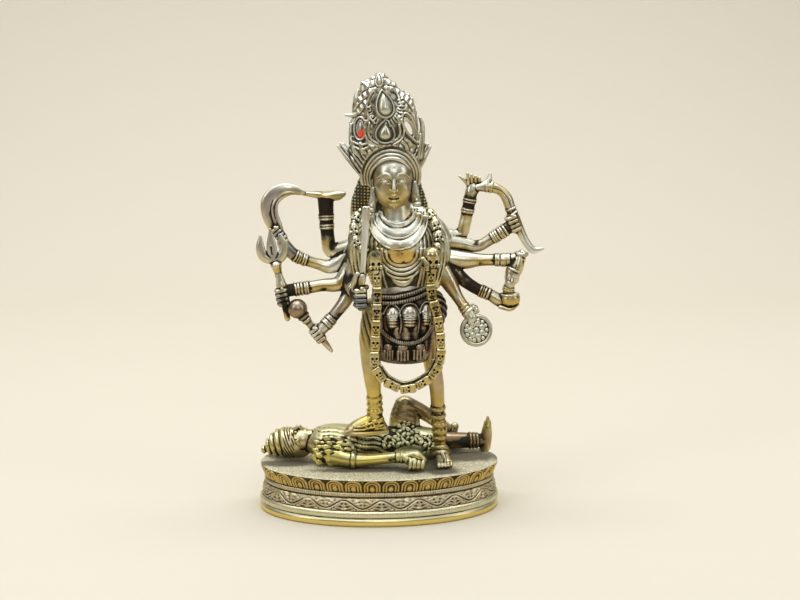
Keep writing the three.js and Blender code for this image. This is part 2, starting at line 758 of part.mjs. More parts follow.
// Space above a height, for the flat faces where one casting rests on another
const above = (height) => block(new THREE.Vector3(-far, -far, height), new THREE.Vector3(far, far, 3 * far));

// The left foot's bed: from its heel to past its toes, flat at the chest's height
const footBed = block(
  forms.at([-11, -8, 0]).setZ(deck + soleHeight),
  forms.at([3, -1.6, 0]).setZ(deck + figureHeight / 2),
);

const recliningFigure = makeReclining().intersect(above(deck + seat)).subtract(footBed);
const upper = join([
  ...makeTorso(forms),
  ...makeHead(forms),
  ...makeCrown(forms),
  ...makeSkirt(forms),
  ...makeGarland(forms),
  ...makeLeftArms(forms),
  ...makeRightArms(forms),
]);
const leftLeg = join(legs.left).intersect(above(deck + soleHeight + seat));
const rightLeg = join(legs.right).intersect(above(deck + seat));
const standingFigure = join([upper, leftLeg, rightLeg]);

const figureGroup = new THREE.Group();
figureGroup.add(
  mesh('plinth', makePlinth(), plinthBrass),
  mesh('reclining_figure', recliningFigure, darkBrass),
  mesh('standing_figure', standingFigure, agedBrass),
);

export default figureGroup;
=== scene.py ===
import math

import bpy
import numpy as np
import openvdb
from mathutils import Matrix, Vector


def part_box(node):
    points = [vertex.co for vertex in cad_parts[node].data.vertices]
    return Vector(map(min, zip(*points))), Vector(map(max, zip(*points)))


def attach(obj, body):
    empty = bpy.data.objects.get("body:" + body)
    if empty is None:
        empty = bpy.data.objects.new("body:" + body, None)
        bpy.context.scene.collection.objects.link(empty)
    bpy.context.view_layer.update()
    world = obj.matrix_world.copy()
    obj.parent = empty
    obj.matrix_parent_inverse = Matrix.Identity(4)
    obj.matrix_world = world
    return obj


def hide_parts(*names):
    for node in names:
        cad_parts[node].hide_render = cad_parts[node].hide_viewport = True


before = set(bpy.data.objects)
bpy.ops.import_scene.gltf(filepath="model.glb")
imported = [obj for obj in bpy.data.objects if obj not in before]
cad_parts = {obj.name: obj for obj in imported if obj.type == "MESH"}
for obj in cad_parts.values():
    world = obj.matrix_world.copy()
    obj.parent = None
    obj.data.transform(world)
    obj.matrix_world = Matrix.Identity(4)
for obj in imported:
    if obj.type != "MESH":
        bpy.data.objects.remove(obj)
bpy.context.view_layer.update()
print("frame loaded")

plinthLow, plinthHigh = (Vector(corner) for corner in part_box("plinth"))
figureTop = Vector(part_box("standing_figure")[1]).z
lyingLow, lyingHigh = (Vector(corner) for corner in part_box("reclining_figure"))
deck = plinthHigh.z
figureShare = (figureTop - deck) / 100.2  # a hundredth of the standing figure's height, in metres
lyingShare = (lyingHigh.x - lyingLow.x) / 102  # a hundredth of the lying figure's length
front = (0, -1, 0)
above = (0, 0, 1)

farAway = 6  # distance, in shares, of places that no shape has reached
scatter = (0.7549, 0.5698)  # steps that spread places evenly over a field


# Clay

def smoothMin(a, b, blend):
    if blend <= 0:
        return np.minimum(a, b)
    share = np.clip(0.5 + 0.5 * (b - a) / blend, 0, 1)
    return b + (a - b) * share - blend * share * (1 - share)


def ramp(distance, length):
    # Rises from 0 to 1 over a length
    return np.clip(distance / length, 0, 1)


def wave(place, length):
    return np.cos(2 * math.pi * place / length)


def unitVector(values):
    values = np.array(values, float)
    return values / max(np.linalg.norm(values), 1e-9)


def squared(way, along):
    # The direction nearest to a way at right angles to another
    return unitVector(np.array(way, float) - along * float(np.dot(way, along)))


class Clay:
    # Shapes are (low corner, high corner, distance function), in hundredths of a figure
    def __init__(self, low, high, grain):
        self.grain = grain
        self.low = np.array(low, float)
        count = np.ceil((np.array(high, float) - self.low) / grain).astype(int) + 1
        self.axes = [(self.low[i] + grain * np.arange(count[i])).astype(np.float32) for i in range(3)]
        self.field = np.full(count, farAway, np.float32)

    def window(self, low, high, margin):
        spans = []
        for i in range(3):
            first = math.floor((low[i] - margin - self.low[i]) / self.grain)
            last = math.ceil((high[i] + margin - self.low[i]) / self.grain) + 1
            spans.append(slice(min(max(first, 0), len(self.axes[i])), min(max(last, 0), len(self.axes[i]))))
        return tuple(spans)

    def places(self, spans):
        x, y, z = (axis[span] for axis, span in zip(self.axes, spans))
        return x[:, None, None], y[None, :, None], z[None, None, :]

    def gather(self, shapes, blend):
        shapes = [shapes] if isinstance(shapes, tuple) else shapes
        margin = blend + 3 * self.grain
        low = np.min([shape[0] for shape in shapes], axis=0)
        high = np.max([shape[1] for shape in shapes], axis=0)
        whole = self.window(low, high, margin)
        size = [span.stop - span.start for span in whole]
        if min(size) <= 0:
            return None, None
        joined = np.full(size, farAway, np.float32)
        for shapeLow, shapeHigh, distance in shapes:
            spans = self.window(shapeLow, shapeHigh, margin)
            if min(span.stop - span.start for span in spans) <= 0:
                continue
            inner = tuple(slice(s.start - w.start, s.stop - w.start) for s, w in zip(spans, whole))
            joined[inner] = np.minimum(joined[inner], distance(*self.places(spans)))
        return whole, joined

    def press(self, shapes, blend):
        spans, joined = self.gather(shapes, blend)
        if spans:
            self.field[spans] = smoothMin(self.field[spans], joined, blend)

    def limb(self, stations, blend, steps=6):
        self.press(sweep(stations, steps), blend)

    def carve(self, shapes, blend):
        spans, joined = self.gather(shapes, blend)
        if spans:
            self.field[spans] = -smoothMin(-self.field[spans], joined, blend)

    def reach(self, x, z):
        # The y of the surface over a place seen from the front
        i, k = (int(round((v - self.low[a]) / self.grain)) for v, a in ((x, 0), (z, 2)))
        column = self.field[min(max(i, 0), len(self.axes[0]) - 1), :, min(max(k, 0), len(self.axes[2]) - 1)]
        inside = np.flatnonzero(column < 0)
        return float(self.axes[1][inside[0]]) if len(inside) else None

    def seat(self, x, z, sink=0.0):
        # The place on the surface there, and the way it faces
        y = self.reach(x, z)
        if y is None:
            return np.array((x, 0.0, z)), np.array(front, float)
        across = [self.reach(x + d, z) for d in (-0.7, 0.7)]
        along = [self.reach(x, z + d) for d in (-0.7, 0.7)]
        slopes = [0 if None in pair else np.clip((pair[1] - pair[0]) / 1.4, -1.6, 1.6)
                  for pair in (across, along)]
        way = unitVector((slopes[0], -1, slopes[1]))
        return np.array((x, y, z)) - way * sink, way

    def trace(self, places, wide, deep, sink, steps=6):
        # A raised line over the surface, through (right, up) places seen from the front
        run = curve([(p[0], 0, p[1], p[2] if len(p) > 2 else 1) for p in places], steps)
        spots = [self.seat(r[0], r[2], sink) for r in run]
        depths, ways = np.array([spot[0][1] for spot in spots]), np.array([spot[1] for spot in spots])
        if len(spots) > 6 and np.ptp(depths) < 6:
            # Evened out along the line, so that it runs smoothly over small relief
            near = [slice(max(i - 3, 0), i + 4) for i in range(len(spots))]
            spots = [(np.array((r[0], depths[n].mean(), spot[0][2])), unitVector(ways[n].mean(axis=0)))
                     for r, n, spot in zip(run, near, spots)]
        shapes = []
        for (a, way), (b, _), ra, rb in zip(spots, spots[1:], run, run[1:]):
            if abs(a[1] - b[1]) < 3:
                shapes.append(rod(a, b, wide * ra[3], wide * rb[3], deep * ra[3], deep * rb[3], way))
        return shapes

    def line(self, places, wide, deep, blend, sink=0.0, steps=6):
        self.press(self.trace(places, wide, deep, sink, steps), blend)

    def ripple(self, low, high, change):
        spans = self.window(low, high, 0)
        if min(span.stop - span.start for span in spans) > 0:
            self.field[spans] += change(*self.places(spans)).astype(np.float32)


def ball(centre, radii):
    centre = np.array(centre, float)
    radii = np.array([radii] * 3 if np.isscalar(radii) else radii, float)

    def distance(x, y, z):
        p = (x - centre[0], y - centre[1], z - centre[2])
        near = np.sqrt(sum((p[i] / radii[i]) ** 2 for i in range(3)))
        far = np.sqrt(sum((p[i] / radii[i] ** 2) ** 2 for i in range(3)))
        return near * (near - 1) / np.maximum(far, 1e-6)

    return centre - radii, centre + radii, distance


def rod(start, end, startWide, endWide=None, startDeep=None, endDeep=None, facing=front):
    start = np.array(start, float)
    end = np.array(end, float)
    endWide = startWide if endWide is None else endWide
    startDeep = startWide if startDeep is None else startDeep
    endDeep = endWide if endDeep is None else endDeep
    length = max(np.linalg.norm(end - start), 1e-6)
    along = (end - start) / length
    across = unitVector(np.cross(along, facing))
    depth = np.cross(across, along)
    reach = max(startWide, endWide, startDeep, endDeep)

    def distance(x, y, z):
        p = (x - start[0], y - start[1], z - start[2])
        a, c, d = (p[0] * v[0] + p[1] * v[1] + p[2] * v[2] for v in (along, across, depth))
        share = np.clip(a / length, 0, 1)
        wide = startWide + (endWide - startWide) * share
        deep = startDeep + (endDeep - startDeep) * share
        thin = np.minimum(wide, deep)
        beyond = a - share * length
        return (np.sqrt((c / wide) ** 2 + (d / deep) ** 2 + (beyond / thin) ** 2) - 1) * thin

    return np.minimum(start, end) - reach, np.maximum(start, end) + reach, distance


def torus(centre, axis, radius, thick):
    centre = np.array(centre, float)
    axis = unitVector(axis)
    reach = radius + thick

    def distance(x, y, z):
        p = (x - centre[0], y - centre[1], z - centre[2])
        a = p[0] * axis[0] + p[1] * axis[1] + p[2] * axis[2]
        out = np.sqrt(np.maximum(p[0] ** 2 + p[1] ** 2 + p[2] ** 2 - a**2, 0)) - radius
        return np.sqrt(a**2 + out**2) - thick

    return centre - reach, centre + reach, distance


def between(p, q, r, s, t):
    # A place on the smooth curve from q to r, at a share of the way
    return 0.5 * (2 * q + (r - p) * t + (2 * p - 5 * q + 4 * r - s) * t**2 + (3 * q - p - 3 * r + s) * t**3)


def curve(stations, steps):
    # A smooth run through stations, each a place with any number of sizes after it
    points = np.array([[*s, s[3]] if len(s) == 4 else list(s) for s in stations], float)
    padded = np.vstack([2 * points[0] - points[1], points, 2 * points[-1] - points[-2]])
    run = []
    for i in range(len(points) - 1):
        run += [between(*padded[i : i + 4], t) for t in np.arange(steps) / steps]
    run.append(points[-1])
    return np.array(run)


def sweep(stations, steps=6, facing=front):
    run = curve(stations, steps)
    sizes = np.maximum(run[:, 3:5], 0.05)
    return [
        rod(run[i][:3], run[i + 1][:3], sizes[i][0], sizes[i + 1][0], sizes[i][1], sizes[i + 1][1], facing)
        for i in range(len(run) - 1)
    ]


def rings(stations, places, rise, thick):
    # Rings in relief round a limb, at shares of its run
    run = curve(stations, 12)
    made = []
    for place in places:
        i = int(np.clip(round(place * (len(run) - 1)), 1, len(run) - 2))
        made.append(torus(run[i][:3], run[i + 1][:3] - run[i - 1][:3], run[i][3] + rise - thick, thick))
    return made


def polygonDistance(points, u, v):
    best = np.full(np.broadcast(u, v).shape, 1e9)
    inside = np.zeros(best.shape, bool)
    for (ax, ay), (bx, by) in zip(points, np.roll(points, -1, axis=0)):
        ex, ey = bx - ax, by - ay
        t = np.clip(((u - ax) * ex + (v - ay) * ey) / (ex * ex + ey * ey + 1e-12), 0, 1)
        best = np.minimum(best, (u - ax - ex * t) ** 2 + (v - ay - ey * t) ** 2)
        if ey:
            inside ^= ((ay > v) != (by > v)) & (u < (v - ay) * ex / ey + ax)
    return np.where(inside, -1, 1) * np.sqrt(best)


def rounded(points, steps):
    # A closed outline with its corners smoothed
    points = np.array(points, float)
    around = []
    for i in range(len(points)):
        near = [points[(i + k) % len(points)] for k in (-1, 0, 1, 2)]
        around += [between(*near, t) for t in np.arange(steps) / steps]
    return np.array(around)


def dropOutline(wide, high):
    # A drop with its point up
    turns = np.linspace(0, 2 * math.pi, 22, endpoint=False)
    return np.array([(wide / 2 * math.sin(t) * abs(math.sin(t / 2)) ** 0.8, high * (0.5 * math.cos(t)))
                     for t in turns])


def plate(origin, outline, thick, heights, facing=front, up=above, rounding=0.1):
    # A flat shape of an outline (right, up), carved to heights: (distance from the edge, rise)
    origin = np.array(origin, float)
    outward = unitVector(facing)
    right = unitVector(np.cross(up, outward))
    top = np.cross(outward, right)
    outline = np.array(outline, float)
    reach = np.abs(outline).max() * 1.45
    rise = max(height for _, height in heights)
    size = np.abs(right) * reach + np.abs(top) * reach + np.abs(outward) * (thick + rise)

    def distance(x, y, z):
        p = (x - origin[0], y - origin[1], z - origin[2])
        u, v, w = (p[0] * a[0] + p[1] * a[1] + p[2] * a[2] for a in (right, top, outward))
        edge = polygonDistance(outline, u, v)
        lift = np.interp(-edge, [h[0] for h in heights], [h[1] for h in heights])
        a, b = edge + rounding, np.where(w > 0, (w - lift - thick) * 0.7, -w - thick) + rounding
        inner = np.minimum(np.maximum(a, b), 0)
        return inner + np.sqrt(np.maximum(a, 0) ** 2 + np.maximum(b, 0) ** 2) - rounding

    return origin - size, origin + size, distance


def turned(start, end, profile):
    # A turned shape: profile of (distance along, radius) from start towards end
    start = np.array(start, float)
    along = unitVector(np.array(end, float) - start)
    outline = np.array([(a, r) for a, r in profile] + [(a, -r) for a, r in reversed(profile)], float)
    reach = max(r for _, r in profile)
    tips = [start + along * min(a for a, _ in profile), start + along * max(a for a, _ in profile)]

    def distance(x, y, z):
        p = (x - start[0], y - start[1], z - start[2])
        a = p[0] * along[0] + p[1] * along[1] + p[2] * along[2]
        r = np.sqrt(np.maximum(p[0] ** 2 + p[1] ** 2 + p[2] ** 2 - a**2, 0))
        return polygonDistance(outline, a, r)

    return np.minimum(*tips) - reach, np.maximum(*tips) + reach, distance


def fist(grip, along, size):
    # Four fingers rolled round a grip that runs along a direction, and the thumb over them
    grip = np.array(grip, float)
    along = unitVector(along)
    palm = unitVector((0, 1, 0))
    out = unitVector(np.cross(along, palm))
    back = palm * 0.6 * size
    shapes = [rod(grip - along * 1.5 * size + back, grip + along * 1.5 * size + back, 1.25 * size)]
    for i in range(4):
        place = grip + along * (1.55 - 1.03 * i) * size
        knuckle = place + out * 1.25 * size + palm * 0.5 * size
        middle = place + out * 0.9 * size - palm * 1.1 * size
        tip = place - out * 0.7 * size - palm * 1.15 * size
        shapes += [rod(knuckle, middle, 0.56 * size, 0.54 * size), rod(middle, tip, 0.54 * size, 0.44 * size)]
    thumb = grip + along * 2 * size
    root, tip = thumb - out * 1.1 * size + palm * 0.3 * size, thumb - out * 0.2 * size - palm * 1.2 * size
    return shapes + [rod(root, tip, 0.6 * size, 0.45 * size)]


# Turning clay into pieces

def meshFrom(name, points, triangles, quads):
    mesh = bpy.data.meshes.new(name)
    corners = np.concatenate([triangles.ravel(), quads.ravel()]).astype(np.int32)
    starts = np.concatenate([3 * np.arange(len(triangles)), 3 * len(triangles) + 4 * np.arange(len(quads))])
    mesh.vertices.add(len(points))
    mesh.vertices.foreach_set("co", np.ascontiguousarray(points, np.float32).ravel())
    mesh.loops.add(len(corners))
    mesh.loops.foreach_set("vertex_index", corners)
    mesh.polygons.add(len(starts))
    mesh.polygons.foreach_set("loop_start", starts.astype(np.int32))
    mesh.update(calc_edges=True)
    mesh.validate()
    return mesh


def thin(piece, most):
    # Fewer triangles, where there are more than the piece may have
    count = sum(len(p.vertices) - 2 for p in piece.data.polygons)
    if count <= most:
        return
    modifier = piece.modifiers.new("thin", "DECIMATE")
    modifier.ratio = most / count
    bpy.context.view_layer.objects.active = piece
    bpy.ops.object.modifier_apply(modifier=modifier.name)


# Darker places of each piece, partly darker patina and partly painted shade at the roots of the arms, on the
# veil behind the head and where parts meet, and brighter ones: centre, radii and how much darker
shadeAndPatinaPatches = {
    "crownAndHead": [((3.4, -9, 71), (3.4, 3, 5), -0.06), ((-6, -3, 79), (4, 4, 6), 0.1)],
    "bodyAndShawl": [((-5, -0.5, 71), (3.4, 4, 9), 0.5), ((11, -0.5, 71), (3.4, 4, 8), 0.5),
                     ((6, -8, 46.8), (7, 5, 3.4), 0.36), ((-10, 0, 50), (3, 5, 5), 0.25),
                     ((19.5, 0, 53), (3, 5, 5), 0.25), ((5, -8, 61), (8, 4, 5), -0.06)],
    "skirtAndBelt": [((3.1, -9.6, 39.6), (1.6, 1.4, 2.6), -0.32), ((7.4, -9.8, 40), (2, 1.4, 2.6), -0.32),
                     ((11.6, -9.6, 40.4), (1.4, 1.4, 2.6), -0.25), ((6, -9.6, 31), (6, 1.4, 2), -0.1),
                     ((16, -3, 40), (4, 7, 8), 0.2)],
    "skullGarland": [((-1, -10, 44), (3, 4, 14), 0.16), ((13.4, -10, 42), (3, 4, 16), 0.14),
                     ((-5.6, -5, 60), (3, 4, 6), 0.14), ((13.6, -5, 60), (3, 4, 6), 0.14),
                     ((-1.2, -10, 56), (2.4, 3, 2), 0.26), ((12.9, -10, 56.6), (2.4, 3, 2), 0.16)],
    "leftArms": [((-13.3, 0.5, 64.5), (2.8, 3, 6.6), 0.5), ((-7.4, -2, 45.4), (3, 4, 3.4), 0.3),
                 ((-24.3, -4.2, 44.4), (3.4, 4, 3.2), 0.42), ((-20.7, -5, 41.4), (4.5, 4.5, 4.5), 0.42),
                 ((-4.9, -10, 45), (3.6, 4, 4), 0.36), ((-25, -2, 59.6), (2.4, 3, 2.4), 0.34),
                 ((-21, -1, 53), (3.4, 3, 2.4), 0.3), ((-11, -3.4, 39.6), (3, 3, 3), 0.3),
                 ((-16, -4, 34), (3, 3, 2), 0.2)],
    "rightArms": [((23.2, 0.4, 67.4), (2.6, 3, 2.6), 0.5), ((18, -1.6, 49.6), (3.4, 4, 2.6), 0.4),
                  ((33.2, -4, 40.2), (4.4, 5, 2.4), 0.45), ((24.5, -3, 46), (5.4, 3.4, 3.2), 0.5),
                  ((34.3, -1.6, 62.4), (2.4, 3, 2.4), 0.32), ((34.8, -4.4, 52.2), (2.6, 3, 1.8), 0.24),
                  ((24.4, -7.6, 35.8), (4.6, 2.4, 4.6), -0.2), ((23.4, -6, 40.4), (3, 3, 2.4), -0.2),
                  ((24, -2, 50), (4, 3, 1.6), 0.2)],
    "legsAndFeet": [((-0.2, -3, 22), (1.6, 5, 10), 0.2), ((12.7, -3, 22), (1.4, 5, 10), 0.16),
                    ((-3, -4, 38), (4, 6, 6), 0.24), ((14.6, -3.4, 22), (3, 4, 5), 0.12),
                    ((15.4, -3, 30), (3, 5, 5), 0.14)],
    "lyingFigure": [((-45, 5, 2), (8, 8, 3), 0.3), ((38, 9, 4), (14, 8, 5), 0.34),
                    ((12, -2, 6), (13, 6, 4), 0.12), ((-6, -4, 4), (12, 5, 3), 0.2),
                    ((24, 8, 14), (8, 5, 5), 0.2), ((-23, 0, 12), (7, 6, 4), 0.12),
                    ((-30, -4, 8), (3, 4, 4), 0.16), ((9, 4, 22), (6, 6, 5), 0.14)],
}


# Rounds of smoothing, and the height over the smoothed form, in shares, that counts as full relief
reliefSteps = {4: 0.05, 16: 0.14, 48: 0.34}


def markRelief(piece, unit):
    # Stores how far each point stands proud of (above a half) or lies under (below) the form around it
    mesh = piece.data
    points = np.empty(3 * len(mesh.vertices), np.float32)
    mesh.vertices.foreach_get("co", points)
    points = points.reshape(-1, 3).astype(float)
    normals = np.empty(3 * len(mesh.vertices), np.float32)
    mesh.vertices.foreach_get("normal", normals)
    normals = normals.reshape(-1, 3)
    edges = np.empty(2 * len(mesh.edges), np.int32)
    mesh.edges.foreach_get("vertices", edges)
    a, b = edges.reshape(-1, 2).T
    degree = np.maximum(np.bincount(np.concatenate([a, b]), minlength=len(points)), 1)
    smooth = points.copy()
    relief = np.zeros(len(points))
    for step in range(1, max(reliefSteps) + 1):
        total = np.empty_like(smooth)
        for k in range(3):
            far = smooth[:, k]
            total[:, k] = np.bincount(a, far[b], len(points)) + np.bincount(b, far[a], len(points))
        smooth = 0.3 * smooth + 0.7 * total / degree[:, None]
        if step in reliefSteps:
            rise = ((points - smooth) * normals).sum(axis=1) / unit
            relief += np.clip(rise / reliefSteps[step], -1, 1) / 3
    relief = 0.5 + 0.5 * relief
    # Painted shade and darker patina from the patches, taken off the relief so that the brass darkens there
    for centre, radii, amount in shadeAndPatinaPatches.get(piece.name, []):
        off = ((points - np.array((0, 0, deck))) / unit - np.array(centre)) / np.array(radii)
        relief -= amount * np.exp(-1.2 * (off**2).sum(axis=1))
    layer = mesh.attributes.new("relief", "FLOAT", "POINT")
    layer.data.foreach_set("value", relief.astype(np.float32))


def settle(piece, node, material, unit):
    for polygon in piece.data.polygons:
        polygon.use_smooth = True
    markRelief(piece, unit)
    piece.data.materials.append(material)
    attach(piece, "root")
    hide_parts(node)


def cast(clay, name, node, material, unit, most):
    # Clay to mesh, cut flat where it stands
    field = np.maximum(clay.field, -clay.axes[2])
    band = 3 * clay.grain
    for i in range(3):
        edge = [slice(None)] * 3
        for side in (0, -1):
            edge[i] = side
            field[tuple(edge)] = band
    grid = openvdb.FloatGrid(background=band)
    grid.copyFromArray(np.clip(field, -band, band))
    points, triangles, quads = grid.convertToPolygons(0.0, 0.0)
    places = (clay.low + points * clay.grain) * unit + np.array((0, 0, deck))
    piece = bpy.data.objects.new(name, meshFrom(name, places, triangles, quads))
    bpy.context.scene.collection.objects.link(piece)
    thin(piece, most)
    settle(piece, node, material, unit)
    print("cast", name, len(piece.data.polygons), "faces")


def drop(clay, seat, outline, levels, tilt=0):
    # A carved drop or medallion set on a place of the surface
    place, way = seat
    lean = math.radians(tilt)
    clay.press(plate(place, outline, 0.3, levels, way, (math.sin(lean), 0, math.cos(lean))), 0.08)


def oval(wide, high):
    turns = np.linspace(0, 2 * math.pi, 24, endpoint=False)
    return np.array([(wide / 2 * math.sin(t), high / 2 * math.cos(t)) for t in turns])


# Crown and head

crownShape = {
    "body": [[2.6, -3.6, 75.5, 6.6, 4.6], [1.6, -3.4, 80, 8.4, 4.8], [1.4, -3.4, 86, 8, 4],
             [1.2, -3.6, 91, 5.6, 3.2], [0.9, -3.8, 95.4, 3.6, 2.4], [0.3, -4.2, 98.6, 1.6, 1.4]],
    "outline": [(-1.2, 99.4), (-2.6, 98.5), (-4.2, 98.0), (-4.6, 96.4), (-5.2, 94.6), (-6.0, 93.4),
                (-6.3, 91.6), (-6.2, 89.6), (-7.2, 88.2), (-7.3, 84), (-6.8, 80.6), (-5.4, 77), (8.6, 77),
                (9.4, 80.6), (9.6, 84.4), (9.6, 88), (9.0, 91.6), (8.5, 93.6), (7.4, 94.9), (6, 95.6),
                (4.7, 96.6), (3.7, 97.9), (2.5, 98.4), (1.6, 99.4), (0.2, 100)],
    "bandTops": [82.3, 81.35, 80.4, 79.55],  # the head's four bands, outermost first
    "bandHalves": [7.2, 6.5, 5.8, 5.15],
}


def modelCrown(clay):
    clay.limb(crownShape["body"], 0)
    centre = np.array((1.4, 88))
    outline = np.array(crownShape["outline"]) - centre
    dome = [(0, 0), (0.5, 0.55), (1.6, 1.2), (3.4, 2.2), (6, 3)]
    clay.press(plate((centre[0], -3.6, centre[1]), rounded(outline, 2), 1.5, dome, rounding=0.5), 0.6)

    jewels = {"big": (1.15, 92.7), "second": (1.45, 86.1), "tip": (0.05, 98.4), "medallion": (-4.6, 86.7),
              "open": (7.5, 86.6)}
    seats = {name: clay.seat(*place, sink=0.25) for name, place in jewels.items()}

    def scales(x, y, z):
        # Small ribbed leaves in rows that open out from the middle
        rowHigh, leafWide = 1.75, 1.5
        across, up = x - 1.1, z - 85
        out = np.sqrt(across**2 * 1.5 + up**2)
        row = np.floor(out / rowHigh)
        along = out / rowHigh - row
        count = np.maximum(np.round(2 * math.pi * (row + 0.6) * rowHigh / leafWide), 6)
        turn = (np.arctan2(across, up) / (2 * math.pi) + 0.5) * count + 0.5 * (row % 2)
        side = np.clip(np.abs(turn % 1 - 0.5) * 2, 0, 0.999)
        swell = np.sin(math.pi * np.clip(along + 0.1, 0, 1)) * np.cos(side * math.pi / 2)
        leaf = np.sqrt(np.maximum(swell, 0))
        rib = np.cos(2 * math.pi * side) * 0.06
        clear = 1.0
        for centre, wide, high in (((1.2, 92.4), 3.3, 4), ((1.45, 86), 3.3, 3.5), ((-4.6, 86.7), 2.2, 3.3),
                                   ((7.4, 86.4), 2.6, 4.4)):
            far = ((x - centre[0]) / wide) ** 2 + ((z - centre[1]) / high) ** 2
            clear = clear * np.clip(far - 0.9, 0, 0.4) * 2.5
        return np.where(y < -3.2, (0.12 - (0.36 + rib) * leaf) * clear, 0.12 * wave(x, 1.7))

    def fanLines(x, y, z):
        # Ribs of the two fans carried down over the sides
        left = wave(0.81 * x + 0.587 * z, 0.9) * ramp(-2.6 - x, 1)
        right = wave(0.91 * x - 0.42 * z, 0.9) * ramp(x - 8, 1)
        return 0.15 * (left + right) * ramp(82.5 - z, 1.5)

    clay.ripple((-8, -12, 80.4), (11, 3, 101), scales)
    clay.ripple((-8, -12, 72), (12, 3, 83), fanLines)
    # Room for the head and its bands
    clay.carve(turned((2.85, -13, 75.2), (2.85, -5, 75.2), [(0, 0), (0, 7.2), (8.2, 7.2), (8.2, 0)]), 0.1)
    # Hooked leaf, fans and ribbed leaves standing clear of the edge
    clay.limb([(-4.2, -5.6, 91.9, 0.4), (-5.0, -5.6, 90.6, 0.6), (-6.4, -5.2, 89.8, 0.56),
               (-8.3, -4.7, 89.9, 0.26)], 0.12)
    clay.limb([(-5.2, -4.4, 88.6, 1.3), (-5.4, -4.4, 91.8, 1.2), (-5.4, -4.4, 94.4, 0.7)], 0.4)
    clay.limb([(-5.3, -5.5, 92.4, 0.5), (-5.6, -5.3, 94, 0.7), (-5.2, -5.0, 95.8, 0.3)], 0.1)
    for side, tip, foot in ((-1, (-9.5, -3.0, 82.7), (-4.2, -3.6, 75.4)),
                            (1, (12.2, -3.0, 82.5), (9.2, -3.6, 76))):
        for lean in range(3):
            spread = (lean - 1) * 0.85
            start = np.array((foot[0] + 0.3 * spread, foot[1], foot[2] - 0.45 * spread * side))
            end = np.array((tip[0] + spread * 0.75, tip[1],
                            tip[2] - 0.35 * abs(lean - 1) - 0.3 * spread * side))
            clay.limb([(*start, 0.55), (*((start + end) / 2), 0.62), (*end, 0.34)], 0.06)
    # Big drop, second drop and the one at the tip
    rim = [(0, 0.15), (0.16, 0.5), (0.42, 0.5), (0.56, 0.02), (0.7, 0.02)]
    drop(clay, seats["big"], dropOutline(6.3, 7.5), rim + [(0.9, 0.45), (1.1, 0.8), (1.5, 1.15),
                                                           (2.2, 1.45), (3.2, 1.6)], -7)
    drop(clay, seats["second"], dropOutline(6.5, 6.4), rim + [(0.95, 0.1), (1.1, 0.3), (1.35, 0.7),
                                                              (1.8, 1.0), (2.6, 1.2)], 4)
    drop(clay, seats["tip"], dropOutline(2.7, 4.0), [(0, 0.1), (0.15, 0.36), (0.32, 0.36), (0.44, 0),
                                                     (0.6, 0.5), (1.2, 0.95)])
    # Left medallion
    drop(clay, seats["medallion"], oval(4.0, 6.2), [(0, 0), (0.2, 0.5), (0.5, 0.5), (0.66, -0.1),
                                                    (0.8, -0.1), (0.98, 0.35), (1.2, 0.4), (1.38, 0.1),
                                                    (1.6, 0.45), (2, 0.65)])
    # Open drop at the right: a thick ring round a hollow that goes right through
    tilt = math.radians(153)
    leaning = [(u * math.cos(tilt) + v * math.sin(tilt), -u * math.sin(tilt) + v * math.cos(tilt))
               for u, v in dropOutline(5.0, 9.2)]
    drop(clay, seats["open"], leaning, [(0, 0.1), (0.25, 0.75), (0.55, 0.75), (0.75, 0.35), (1.0, 0.2),
                                        (1.3, -0.5), (2, -1.2)])
    clay.carve(sweep([(6.6, -12, 87.9, 0.55, 14), (7.1, -12, 87.2, 0.85, 14), (7.7, -12, 86.0, 0.75, 14),
                      (8.1, -12, 85.0, 0.35, 14)]), 0.25)
    clay.limb([(10, -3.6, 79.6, 1.1), (10.6, -3.4, 83.5, 0.8), (10.8, -3.2, 87, 0.6),
               (10.2, -3.2, 89, 0.4)], 0.2)
    clay.limb([(9.1, -4.6, 77.6, 0.8), (9.8, -5, 81, 0.5), (10.2, -4.6, 85, 0.36)], 0.06)
    # Ribs radiating round the big drop
    for i in range(10):
        turn = math.radians(70 + 10.5 * i)
        a = (1.3 + 3.45 * math.sin(turn), 92.2 + 3.75 * math.cos(turn))
        b = (1.3 + 4.8 * math.sin(turn), 92.2 + 4.9 * math.cos(turn))
        clay.line([a, b], 0.24, 0.45, 0.06, steps=3)
    for i in range(6):
        turn = math.radians(-95 - 12 * i)
        a = (1.2 + 3.5 * math.sin(turn), 92.2 + 3.8 * math.cos(turn))
        b = (1.2 + 4.5 * math.sin(turn), 92.2 + 4.7 * math.cos(turn))
        clay.line([a, b], 0.24, 0.4, 0.06, steps=3)
    # Leaves curling between the drops and over the head's bands
    for run in ([(-1.9, 89.9, 0.7), (-2.7, 88.6, 1.1), (-2.5, 86.6, 1.0), (-2.6, 84.4, 0.6)],
                [(4.7, 89.6, 0.8), (5.0, 88.2, 1.2), (4.9, 86.2, 1.1), (5.3, 84.2, 0.7)],
                [(-6.2, 83.2, 1.5), (-6.0, 81.4, 1.6), (-4.9, 79.9, 0.9)],
                [(-4.5, 83, 1.5), (-4.1, 81.4, 1.5), (-3.4, 80.6, 0.8)],
                [(-2.9, 83.6, 1.3), (-2.2, 82.6, 1.2), (-1.4, 82.4, 0.7)],
                [(5.6, 83.4, 1.0), (6.6, 82.2, 1.2), (7.2, 80.6, 0.8)],
                [(-7.0, 87.6, 0.8), (-7.0, 85, 1.0), (-6.8, 82.6, 0.9)]):
        clay.line(run, 0.42, 0.55, 0.08)
        clay.carve(clay.trace([p[:2] for p in run], 0.1, 0.14, sink=-0.25), 0.04)
